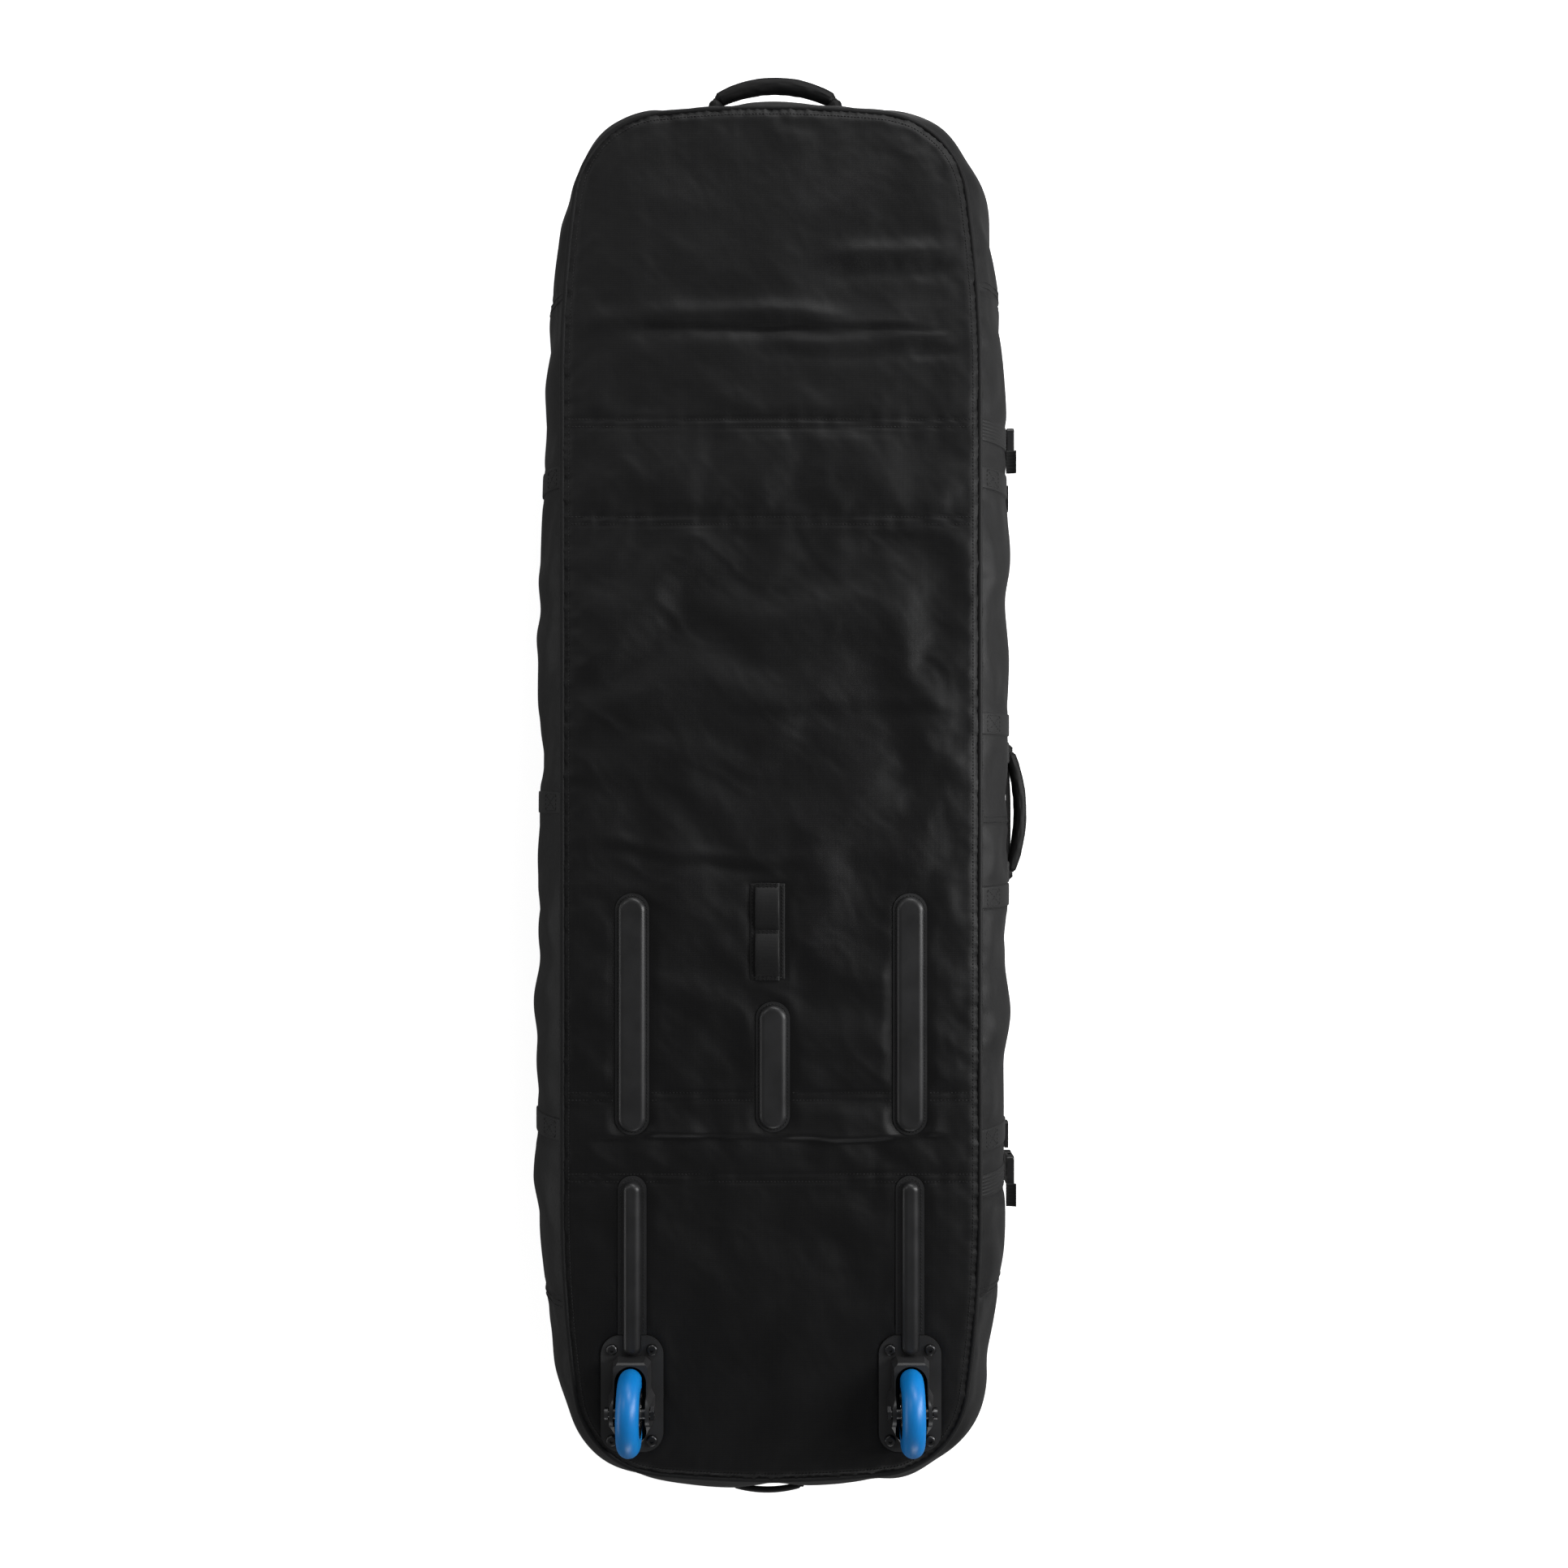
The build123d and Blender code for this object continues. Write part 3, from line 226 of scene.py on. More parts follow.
def metal(name, dark, light, roughness):
    """Metal with fine turning marks and uneven tarnish."""
    material, tree, shader = new_material(name)
    marks = stretched_noise(tree, 1400.0, 2.0, (0.2, 1.0, 1.0))
    slow = stretched_noise(tree, 90.0)
    tree.links.new(ramp(tree, slow.outputs["Fac"], dark, light, 0.35, 0.65), shader.inputs["Base Color"])
    rough = ramp(tree, marks.outputs["Fac"], (roughness - 0.06,) * 3, (roughness + 0.1,) * 3)
    tree.links.new(rough, shader.inputs["Roughness"])
    dial(shader, Metallic=1.0)
    bump(tree, shader, marks.outputs["Fac"], 0.08, 0.1 * MM)
    return material


def urethane(name):
    """Glossy cast urethane with faint clouding and scuffed tread."""
    material, tree, shader = new_material(name)
    cloud = stretched_noise(tree, 30.0, 4.0)
    scuff = stretched_noise(tree, 160.0, 5.0, (6.0, 1.0, 1.0))
    colour = ramp(tree, cloud.outputs["Fac"], (0.0003, 0.185, 0.55), (0.0006, 0.225, 0.64), 0.3, 0.7)
    tree.links.new(colour, shader.inputs["Base Color"])
    gloss = ramp(tree, scuff.outputs["Fac"], (0.36,) * 3, (0.44,) * 3, 0.4, 0.75)
    tree.links.new(gloss, shader.inputs["Roughness"])
    dial(shader, Specular_IOR_Level=0.5, Subsurface_Weight=0.08, Subsurface_Radius=(0.002, 0.004, 0.01))
    bump(tree, shader, scuff.outputs["Fac"], 0.02, 0.1 * MM)
    return material


SHELL = fabric("shell", (0.0028, 0.0028, 0.003), (0.0084, 0.0084, 0.009), "X", "Y", 1.1 * MM, 0.48, 0.04)
GUSSET = fabric("gusset", (0.004, 0.004, 0.0042), (0.011, 0.011, 0.0115), "Y", "Z", 1.1 * MM, 0.5, 0.06)
WEBBING = fabric("webbing", (0.005, 0.005, 0.0052), (0.015, 0.015, 0.0155), "X", "Y", 0.9 * MM, 0.5, 0.08)
TAPE = fabric("piping_tape", (0.003, 0.003, 0.0032), (0.0085, 0.0085, 0.009), "Y", "Z", 0.9 * MM, 0.6, 0.05)
SLEEVE = fabric("sleeve", (0.0012, 0.0012, 0.0013), (0.0036, 0.0036, 0.004), "X", "Z", 0.9 * MM, 0.6, 0.02)
THREAD = fabric("thread", (0.006, 0.006, 0.006), (0.016, 0.016, 0.017), "X", "Y", 0.4 * MM, 0.55, 0.1)
PAD = plastic("pad_plastic", (0.012, 0.012, 0.0125), (0.018, 0.018, 0.019), 0.40)
HOUSING = plastic("moulded_plastic", (0.019, 0.019, 0.0195), (0.028, 0.028, 0.029), 0.36)
BUCKLE = plastic("buckle_plastic", (0.008, 0.008, 0.0085), (0.013, 0.013, 0.014), 0.33)
SHEET = plastic("board_plastic", (0.02, 0.02, 0.02), (0.03, 0.03, 0.03), 0.5)
SCREW = metal("screw_steel", (0.05, 0.05, 0.052), (0.09, 0.09, 0.092), 0.32)
STEEL = metal("bright_steel", (0.55, 0.55, 0.56), (0.72, 0.72, 0.73), 0.24)
ZINC = metal("zip_metal", (0.04, 0.04, 0.042), (0.07, 0.07, 0.072), 0.34)
CORE = plastic("wheel_core", (0.006, 0.006, 0.0065), (0.010, 0.010, 0.011), 0.3)
BLUE = urethane("wheel_urethane")


# ---------------------------------------------------------------- noise
def smooth_step(value, low, high):
    """0 below low, 1 above high, smooth between."""
    t = np.clip((value - low) / (high - low), 0, 1)
    return t * t * (3 - 2 * t)


class Noise:
    """Repeatable smooth noise in two dimensions, roughly from -1 to 1."""

    def __init__(self, seed):
        self.table = np.random.default_rng(seed).uniform(-1, 1, (256, 256))

    def __call__(self, x, y):
        xi, yi = np.floor(x).astype(int), np.floor(y).astype(int)
        u, v = x - xi, y - yi
        u, v = u * u * u * (u * (u * 6 - 15) + 10), v * v * v * (v * (v * 6 - 15) + 10)
        a, b = self.table[xi % 256, yi % 256], self.table[(xi + 1) % 256, yi % 256]
        c, d = self.table[xi % 256, (yi + 1) % 256], self.table[(xi + 1) % 256, (yi + 1) % 256]
        return (a * (1 - u) + b * u) * (1 - v) + (c * (1 - u) + d * u) * v


def crumple(noise, x, y, scale, turn, stretch, octaves=4):
    """Creased noise: soft ridges that run along the direction turn, in radians."""
    along = x * cos(turn) + y * sin(turn)
    across = y * cos(turn) - x * sin(turn)
    warp = noise(along / scale * 0.7 + 31.7, across / scale * 0.7 + 11.3)
    total, weight = 0.0, 1.0
    u, v = along / (scale * stretch), across / scale + 0.55 * warp
    for octave in range(octaves):
        total = total + weight * (1 - 2 * np.abs(noise(u + 17.1 * octave, v + 5.3 * octave)))
        u, v, weight = u * 1.9, v * 1.9, weight * 0.5
    return total / 1.9


GUSSET_NOISE, GUSSET_FOLDS = Noise(3), Noise(11)
PANEL_NOISE, PANEL_FOLDS, PANEL_CREASES = Noise(7), Noise(23), Noise(41)

# ---------------------------------------------------------------- seam outline
CORNER_ANGLE = pi / 2 - SHOULDER_ANGLE - END_ANGLE


def turn_arc(start, heading, radius, angle, step):
    """Points and outward directions along a left-hand arc from a point and heading."""
    headings = heading + np.linspace(0, angle, max(2, int(radius * angle / step)))
    centre = start + radius * np.array([-sin(heading), cos(heading)])
    outward = np.stack([np.sin(headings), -np.cos(headings)], -1)
    return centre + radius * outward, outward, heading + angle


def seam_ring(step=1.5 * MM):
    """Points, outward directions and distances round the seam, from the right side's middle."""
    start = np.array([HALF_WIDTH, 0.0])
    side = start + np.linspace(0, STRAIGHT, int(STRAIGHT / step))[:, None] * np.array([0.0, 1.0])
    points, outward = [side], [np.tile([1.0, 0.0], (len(side), 1))]
    heading = pi / 2
    for radius, angle in ((SHOULDER_RADIUS, SHOULDER_ANGLE), (CORNER_RADIUS, CORNER_ANGLE)):
        arc, normal, heading = turn_arc(points[-1][-1], heading, radius, angle, step)
        points.append(arc[1:])
        outward.append(normal[1:])
    last = points[-1][-1]
    arc, normal, heading = turn_arc(last, heading, last[0] / sin(END_ANGLE), END_ANGLE, step)
    quarter = np.concatenate([*points, arc[1:]])
    normals = np.concatenate([*outward, normal[1:]])
    ring, directions = [quarter], [normals]
    for mirror in ([-1, 1], [-1, -1], [1, -1]):
        order = slice(None) if mirror == [-1, -1] else slice(None, None, -1)
        ring.append((quarter * mirror)[order][1:])
        directions.append((normals * mirror)[order][1:])
    ring, directions = np.concatenate(ring), np.concatenate(directions)
    travelled = np.concatenate([[0], np.cumsum(np.linalg.norm(np.diff(ring, axis=0), axis=1))])
    return ring, directions, travelled


RING, RING_OUT, RING_S = seam_ring()
RING_LENGTH = RING_S[-1]


def between(where, travelled, rows):
    """Rows read at distances between those they were given for."""
    return np.stack([np.interp(where, travelled, column) for column in rows.T], -1)


def ring_at(s):
    """Point and outward direction on the seam at distance s."""
    s = np.mod(s, RING_LENGTH)
    out = between(s, RING_S, RING_OUT)
    return between(s, RING_S, RING), out / np.linalg.norm(out, axis=-1, keepdims=True)


def raised(pairs, z):
    """Points from x, y pairs and their heights."""
    return np.concatenate([pairs, np.broadcast_to(z, pairs.shape[:-1])[..., None]], -1)


def ring_s(x, y):
    """Distance along the seam of the point nearest to x, y."""
    return RING_S[np.argmin(np.hypot(RING[:, 0] - x, RING[:, 1] - y))]


LEFT_S = RING_LENGTH / 2


# ---------------------------------------------------------------- simulated fabric
def grid_faces(rows, columns, start=0, flip=False):
    """Quads over a rows x columns grid of points."""
    i, j = np.meshgrid(np.arange(rows - 1), np.arange(columns - 1), indexing="ij")
    base = i * columns + j
    quads = np.stack([base, base + columns, base + columns + 1, base + 1], -1).reshape(-1, 4)
    return (quads[:, ::-1] if flip else quads) + start


EXTRA_FABRIC = 0.010
CLOTH_FRAMES = 18


def settled_cloth(x, y, start, pinned):
    """Heights of a flat cloth with a little too much fabric between its sewn points."""
    mesh = bpy.data.meshes.new("flat_cloth")
    points = np.stack([x, y, start], -1).reshape(-1, 3)
    mesh.from_pydata(points.tolist(), [], grid_faces(*x.shape).tolist())
    cloth = bpy.data.objects.new("flat_cloth", mesh)
    bpy.context.collection.objects.link(cloth)
    sewn = cloth.vertex_groups.new(name="sewn")
    sewn.add(np.flatnonzero(pinned.ravel()).tolist(), 1.0, "REPLACE")
    modifier = cloth.modifiers.new("cloth", "CLOTH")
    settings = modifier.settings
    settings.quality = 6
    settings.mass = 0.3
    settings.tension_stiffness = settings.compression_stiffness = 15
    settings.shear_stiffness = 7.5
    settings.bending_stiffness = 8.0
    settings.air_damping = 1.0
    settings.vertex_group_mass = "sewn"
    settings.shrink_min = -EXTRA_FABRIC
    settings.effector_weights.gravity = 0.0
    modifier.point_cache.frame_start = 1
    modifier.point_cache.frame_end = CLOTH_FRAMES
    for moment in range(1, CLOTH_FRAMES + 1):
        bpy.context.scene.frame_set(moment)
    settled = cloth.evaluated_get(bpy.context.evaluated_depsgraph_get())
    places = np.empty(x.size * 3)
    settled.data.vertices.foreach_get("co", places)
    bpy.data.objects.remove(cloth)
    bpy.context.scene.frame_set(1)
    return places.reshape(*x.shape, 3)[..., 2]


def softened(height):
    """The same heights with the grid's own jitter averaged out, along both axes."""
    for _ in range(2):
        padded = np.pad(height, ((1, 1), (0, 0)), mode="edge")
        height = ((padded[:-2] + 2 * padded[1:-1] + padded[2:]) / 4).T
    return height


class HeightMap:
    """Heights on an even grid, read anywhere with smooth cubic steps."""

    def __init__(self, heights, first, step):
        self.heights, self.first, self.step = heights, first, step

    def __call__(self, x, y):
        """Height at x, y."""
        total = 0.0
        places = [(value - start) / self.step for value, start in zip((x, y), self.first)]
        whole = [np.floor(value).astype(int) for value in places]
        share = [value - base for value, base in zip(places, whole)]
        weights = [self.weights(part) for part in share]
        for i in range(4):
            row = np.clip(whole[0] + i - 1, 0, self.heights.shape[0] - 1)
            for j in range(4):
                column = np.clip(whole[1] + j - 1, 0, self.heights.shape[1] - 1)
                total = total + weights[0][i] * weights[1][j] * self.heights[row, column]
        return total

    @staticmethod
    def weights(t):
        """Cubic B-spline weights of the four grid lines round a place."""
        return (
            (1 - t) ** 3 / 6,
            (3 * t**3 - 6 * t**2 + 4) / 6,
            (-3 * t**3 + 3 * t**2 + 3 * t + 1) / 6,
            t**3 / 6,
        )


# ---------------------------------------------------------------- gusset surface
SEAM_STATIONS = tuple(ring_s(side * HALF_WIDTH, y) for side in (1, -1) for y in (SIDE_SEAM_Y, -SIDE_SEAM_Y))
RIGHT_JOIN_S = RING_LENGTH - 0.035
HEIGHT_SPAN = GUSSET_RADIUS * ARC_HALF_ANGLE

# How far the filled gusset stands proud of the seam at half height: x, y and millimetres.
SAG = (
    (0.226, 0.0, 42.0),
    (0.226, 0.20, 42.0),
    (0.226, 0.30, 39.5),
    (0.226, 0.46, 38.6),
    (0.218, 0.56, 35.3),
    (0.205, 0.65, 28.6),
    (0.17, 0.72, 29.4),
    (0.08, 0.74, 29.8),
    (0.0, 0.743, 29.4),
    (-0.08, 0.74, 29.4),
    (-0.17, 0.72, 21.8),
    (-0.205, 0.65, 19.3),
    (-0.218, 0.56, 26.9),
    (-0.226, 0.44, 28.6),
    (-0.226, 0.28, 34.0),
    (-0.226, 0.0, 36.5),
    (-0.226, -0.34, 39.5),
    (-0.226, -0.48, 38.6),
    (-0.218, -0.57, 32.8),
    (-0.205, -0.66, 28.6),
    (-0.17, -0.72, 30.2),
    (-0.12, -0.74, 33.6),
    (-0.04, -0.742, 31.1),
    (0.08, -0.74, 29.4),
    (0.17, -0.72, 26.9),
    (0.205, -0.66, 31.1),
    (0.218, -0.57, 33.6),
    (0.226, -0.46, 36.1),
    (0.226, -0.30, 38.6),
    (0.226, -0.15, 42.0),
)
SAG_S = np.array([ring_s(x, y) for x, y, _ in SAG])
SAG_SHARE = np.array([proud for _, _, proud in SAG]) * MM / BULGE


def sag_at(s):
    """Smooth share of the full bulge at seam distance s."""
    window = np.linspace(-0.05, 0.05, 7)
    near = [np.interp(s + shift, SAG_S, SAG_SHARE, period=RING_LENGTH) for shift in window]
    return np.mean(near, axis=0)


def level(z):
    """Arc position, -1 at the lower seam and 1 at the upper, of height z."""
    return np.arcsin((z - MID_Z) / GUSSET_RADIUS) / ARC_HALF_ANGLE


SIDE_HANDLE_Y = (-0.088, 0.046)
ANCHORS_Y = (-0.173, 0.138)
LEFT_TABS_S = tuple(LEFT_S - y for y in LEFT_TABS_Y)
ANCHOR_HALF = 9 * MM
ANCHOR_LOW_Z, ANCHOR_HIGH_Z = 0.056, 0.104
PATCH_HALF = 12 * MM
PATCH_PRESS_LOW, PATCH_PRESS_HIGH = 0.1075, 0.1475
TAB_PRESS_LOW = 0.138

# Where webbing is sewn flat: middle along the seam, half width, lowest and highest level.
PRESSED = (
    [(s, TAB_WIDTH / 2, level(TAB_PRESS_LOW), 1.0) for s in RIGHT_TABS_Y + LEFT_TABS_S]
    + [(y, STRAP_WIDTH / 2, -1.0, 1.0) for y in STRAPS_Y]
    + [(y, PATCH_HALF, level(PATCH_PRESS_LOW), level(PATCH_PRESS_HIGH)) for y in SIDE_HANDLE_Y]
    + [(y, ANCHOR_HALF, level(ANCHOR_LOW_Z), level(ANCHOR_HIGH_Z)) for y in ANCHORS_Y]
)


def ring_gap(s, centre):
    """Signed distance along the seam from centre, the short way round."""
    return (s - centre + RING_LENGTH / 2) % RING_LENGTH - RING_LENGTH / 2


def pressed_flat(s, t):
    """0 under sewn webbing, rising to 1 away from it."""
    free = np.ones(np.broadcast(s, t).shape)
    for centre, half, low, high in PRESSED:
        beside = np.abs(ring_gap(s, centre)) - half
        above = np.maximum(low - t, t - high) * HEIGHT_SPAN
        away = np.hypot(np.maximum(beside, 0), np.maximum(above, 0))
        free = np.minimum(free, smooth_step(away, 0, 14 * MM))
    return free


def drawn_gusset_folds(s, height):
    """Folds of the gusset in millimetres, drawn with noise."""
    folds = 1.9 * crumple(GUSSET_NOISE, s, height, 0.075, 1.35, 2.4)
    return folds + 1.1 * crumple(GUSSET_FOLDS, s + 3.0, height, 0.034, 0.5, 1.8, 3)


def settled_gusset_folds():
    """Folds of the gusset in millimetres, from cloth that is sewn down at its seams and webbing."""
    step = 6 * MM
    first = SEAM_STATIONS[1] - RING_LENGTH
    s = first + np.arange(int(RING_LENGTH / step) + 2) * step
    height = np.arange(-HEIGHT_SPAN, HEIGHT_SPAN + step, step)
    s, height = np.meshgrid(s, height, indexing="ij")
    start = 0.35 * MM * drawn_gusset_folds(s, height)
    pinned = pressed_flat(s, height / HEIGHT_SPAN) < 0.02
    for station in (*SEAM_STATIONS, RIGHT_JOIN_S):
        pinned |= np.abs(ring_gap(s, station)) < step * 0.6
    pinned[[0, -1]] = True
    pinned[:, [0, -1]] = True
    heights = settled_cloth(s, height, np.where(pinned, 0, start), pinned)
    return HeightMap(softened(heights) / MM, (first, -HEIGHT_SPAN), step)


def gusset_relief(s, t):
    """How far the gusset fabric stands out of its plain arc: folds, puckers and seams."""
    height = t * HEIGHT_SPAN
    edge = HEIGHT_SPAN - np.abs(height)
    first = SEAM_STATIONS[1] - RING_LENGTH
    folds = FOLDS["gusset"](first + np.mod(s - first, RING_LENGTH), height)
    pucker = 1.1 * GUSSET_NOISE(s / 0.011, height / 0.05) * np.exp(-edge / 0.011)
    relief = (folds * smooth_step(edge, 0, 0.03) + pucker) * MM
    for station in (*SEAM_STATIONS, RIGHT_JOIN_S):
        gap = ring_gap(s, station)
        ripple = GUSSET_NOISE(height / 0.009 + station * 50, s / 0.05)
        relief += 0.8 * ripple * np.exp(-np.abs(gap) / 0.010) * MM
        relief = relief * smooth_step(np.abs(gap), 0, 0.004) - 1.3 * MM * np.exp(-((gap / 0.0022) ** 2))
    return relief * pressed_flat(s, t) - 0.3 * MM


def gusset_at(s, t, lift=0.0, relief=True):
    """Points on the gusset at seam distance s and level t, raised by lift."""
    s, t, lift = np.broadcast_arrays(s, t, lift)
    point, out = ring_at(s)
    angle = t * ARC_HALF_ANGLE
    total = lift + (gusset_relief(s, t) if relief else 0.0)
    full = GUSSET_RADIUS * (np.cos(angle) - cos(ARC_HALF_ANGLE))
    outward = full * sag_at(s) + total * np.cos(angle)
    z = MID_Z + (GUSSET_RADIUS + total) * np.sin(angle)
    return raised(point + out * outward[..., None], z)


# ---------------------------------------------------------------- panel surface
def stadium(x, y, centre_x, low, high, width):
    """Signed distance to a round-ended strip that runs along Y."""
    nearest = np.clip(y, low + width / 2, high - width / 2)
    return np.hypot(x - centre_x, y - nearest) - width / 2


def rounded(x, y, centre_x, low, high, width, corner):
    """Signed distance to a rectangle with rounded corners."""
    qx = np.abs(x - centre_x) - width / 2 + corner
    qy = np.abs(y - (low + high) / 2) - (high - low) / 2 + corner
    return np.hypot(np.maximum(qx, 0), np.maximum(qy, 0)) + np.minimum(np.maximum(qx, qy), 0) - corner


def node_span(name):
    """Middle X, lowest Y, highest Y and width of a CAD node."""
    low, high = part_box(name)
    return (low.x + high.x) / 2, low.y, high.y, high.x - low.x


PADS = [node_span(f"skid_pad_{side}") for side in ("left", "right", "middle")]
RAILS = [node_span(f"kick_rail_{side}") for side in ("left", "right")]
PLATES = [node_span(f"wheel_housing_{side}") for side in ("left", "right")]
LOOP_PATCH = node_span("storage_patch")
PLATE_CORNER = 21 * MM


def hard_distance(x, y):
    """Signed distance to the nearest hard part sewn or bolted to the panel."""
    gaps = [stadium(x, y, *pad) for pad in PADS + RAILS]
    gaps += [rounded(x, y, *plate, PLATE_CORNER) for plate in PLATES]
    gaps.append(rounded(x, y, *LOOP_PATCH, 2 * MM))
    return np.minimum.reduce(gaps)


def edge_distance(x, y):
    """Distance from the seam outline, for points inside it."""
    flat = np.stack([np.ravel(x), np.ravel(y)], -1)
    outline = RING[::6]
    found = np.empty(len(flat))
    for start in range(0, len(flat), 4000):
        chunk = flat[start : start + 4000]
        gap = np.hypot(chunk[:, None, 0] - outline[None, :, 0], chunk[:, None, 1] - outline[None, :, 1])
        found[start : start + 4000] = gap.min(1)
    return found.reshape(np.shape(x))


def bell(value, width):
    """1 at 0, falling off either way."""
    return np.exp(-((value / width) ** 2))


def crease(x, y, line_y, height, width, low_x, high_x, wander):
    """A soft ridge that runs across the bag near line_y, and sinks just below it."""
    wavy = y - line_y - wander * PANEL_NOISE(x / 0.09 + line_y * 100, y * 0 + 0.5)
    strength = smooth_step(x, low_x, low_x + 0.05) * (1 - smooth_step(x, high_x - 0.05, high_x))
    strength = strength * (0.7 + 0.5 * PANEL_NOISE(x / 0.06, y * 0 + line_y * 37))
    return strength * height * (bell(wavy, width) - 0.7 * bell(wavy + 1.6 * width, width))


def overhang(x, y, line_y, height, low_x, high_x):
    """Slack fabric that bellies up above line_y and drops steeply at it."""
    wavy = y - line_y - 0.005 * PANEL_NOISE(x / 0.07 + line_y * 60, y * 0 + 7.5)
    strength = smooth_step(x, low_x, low_x + 0.06) * (1 - smooth_step(x, high_x - 0.06, high_x))
    strength = strength * (0.8 + 0.5 * PANEL_NOISE(x / 0.05 + 3, y * 0 + line_y * 31))
    belly = smooth_step(wavy, -0.002, 0.004) * np.exp(-np.maximum(wavy, 0) / 0.022)
    trough = np.exp(-np.maximum(-wavy, 0) / 0.012) * (1 - smooth_step(wavy, -0.002, 0.004))
    return strength * height * (belly - 0.45 * trough)


def drawn_panel_folds(x, y):
    """Folds of the back panel in millimetres, drawn with noise."""
    folds = 2.3 * crumple(PANEL_FOLDS, x, y, 0.085, radians(-50), 2.2)
    return folds + 1.2 * crumple(PANEL_CREASES, x, y, 0.036, radians(-35), 1.8, 3)


def settled_panel_folds():
    """Folds of the back panel in millimetres, from cloth sewn down at its seams and hard parts."""
    step = 5 * MM
    first = (-HALF_WIDTH, -SEAM_END)
    x = first[0] + np.arange(int(2 * HALF_WIDTH / step) + 2) * step
    y = first[1] + np.arange(int(2 * SEAM_END / step) + 2) * step
    x, y = np.meshgrid(x, y, indexing="ij")
    pinned = hard_distance(x, y) < 0
    for seam in SEAMS_Y:
        pinned |= np.abs(y - seam) < step / 2
    pinned[[0, -1]] = True
    pinned[:, [0, -1]] = True
    inside = edge_distance(x, y)
    pinned |= (inside < step) | (np.abs(y) > SEAM_END) | (np.abs(x) > HALF_WIDTH)
    start = np.where(pinned, 0, 0.6 * MM * drawn_panel_folds(x, y))
    heights = settled_cloth(x, y, start, pinned)
    return HeightMap(softened(heights) / MM, first, step)


# Creases across the panel: Y, height in millimetres, width, lowest and highest X, and wander.
CREASES = (
    (0.520, 4.2, 0.011, -0.215, 0.10, 0.006),
    (0.492, 3.0, 0.009, -0.02, 0.225, 0.006),
    (0.586, 3.4, 0.012, 0.04, 0.225, 0.006),
    (-0.06, 2.6, 0.008, -0.2, 0.06, 0.02),
    (0.10, 3.4, 0.010, -0.05, 0.22, 0.02),
)


def panel_relief(x, y, edge):
    """Height of the back panel's fabric over its plain top face."""
    hard = hard_distance(x, y)
    middle = smooth_step(y, -0.60, -0.30) * (1 - smooth_step(y, 0.33, 0.47))
    busy = 0.45 + 0.55 * middle
    relief = busy * FOLDS["panel"](x, y)
    relief += 0.35 * crumple(PANEL_NOISE, x, y, 0.013, radians(-60), 1.5, 2)
    relief += overhang(x, y, -0.372, 7.0, -0.21, 0.21) + overhang(x, y, 0.505, 3.4, -0.16, 0.2)
    for long_crease in CREASES:
        relief += crease(x, y, *long_crease)
    relief += 0.8 * busy * crumple(PANEL_CREASES, x + 1, y, 0.030, radians(-42), 2.6, 3)
    for seam in SEAMS_Y:
        gap = np.abs(y - seam)
        ripple = PANEL_NOISE(x / 0.010 + seam * 90, y / 0.06)
        relief *= 0.25 + 0.75 * smooth_step(gap, 0.004, 0.02)
        relief += 1.0 * ripple * np.exp(-gap / 0.011) - 1.5 * bell(gap - SEAM_PAIR_GAP / 2, 1.5 * MM)
        relief += 0.7 * smooth_step(seam - y, -0.001, 0.001) * np.exp(-gap / 0.006)
    rim_ripple = PANEL_NOISE(x / 0.010, y / 0.010) * np.exp(-edge / 0.016)
    relief = relief * smooth_step(edge, 0.002, 0.035) + 1.1 * rim_ripple
    hug = 0.3 * bell(hard - 0.007, 0.005)
    relief = relief * smooth_step(hard, 0, 0.012) + hug + 0.6
    relief = np.where(hard < 0, np.minimum(relief, 0.0) - 0.4, relief)
    return relief * MM - 3.6 * MM * (1 - smooth_step(edge, 0, 0.012))


def panel_at(x, y, lift=0.0, edge=None):
    """Points on the back panel's fabric, raised by lift."""
    x, y, lift = np.broadcast_arrays(x, y, lift)
    edge = edge_distance(x, y) if edge is None else edge
    return np.stack([x, y, PANEL_Z + panel_relief(x, y, edge) + lift], -1)


def outline_grid(step):
    """A grid over the whole outline, made of four edge curves and what lies between them."""
    corner = STRAIGHT + SHOULDER_RADIUS * SHOULDER_ANGLE + CORNER_RADIUS * CORNER_ANGLE / 2
    long_count = 2 * int(corner / step) + 1
    short_count = 2 * int((RING_LENGTH / 4 - corner) / step) + 1
    up = np.linspace(-corner, corner, long_count)
    over = np.linspace(corner, RING_LENGTH / 2 - corner, short_count)
    right = ring_at(up)[0]
    left = ring_at(LEFT_S - up)[0]
    top = ring_at(over)[0][::-1]
    bottom = ring_at(-over)[0][::-1]
    u = np.linspace(0, 1, short_count)[None, :, None]
    v = np.linspace(0, 1, long_count)[:, None, None]
    flat = (1 - u) * left[:, None] + u * right[:, None] + (1 - v) * bottom[None] + v * top[None]
    corners = (1 - u) * (1 - v) * bottom[0] + u * (1 - v) * bottom[-1]
    corners = corners + (1 - u) * v * top[0] + u * v * top[-1]
    return flat - corners


# How much of the settled cloth's folds the padded bag shows.
GUSSET_FOLD_SHARE, PANEL_FOLD_SHARE = 0.75, 0.72
gusset_map, panel_map = settled_gusset_folds(), settled_panel_folds()
FOLDS = {
    "gusset": lambda s, height: GUSSET_FOLD_SHARE * gusset_map(s, height),
    "panel": lambda x, y: PANEL_FOLD_SHARE * panel_map(x, y),
}


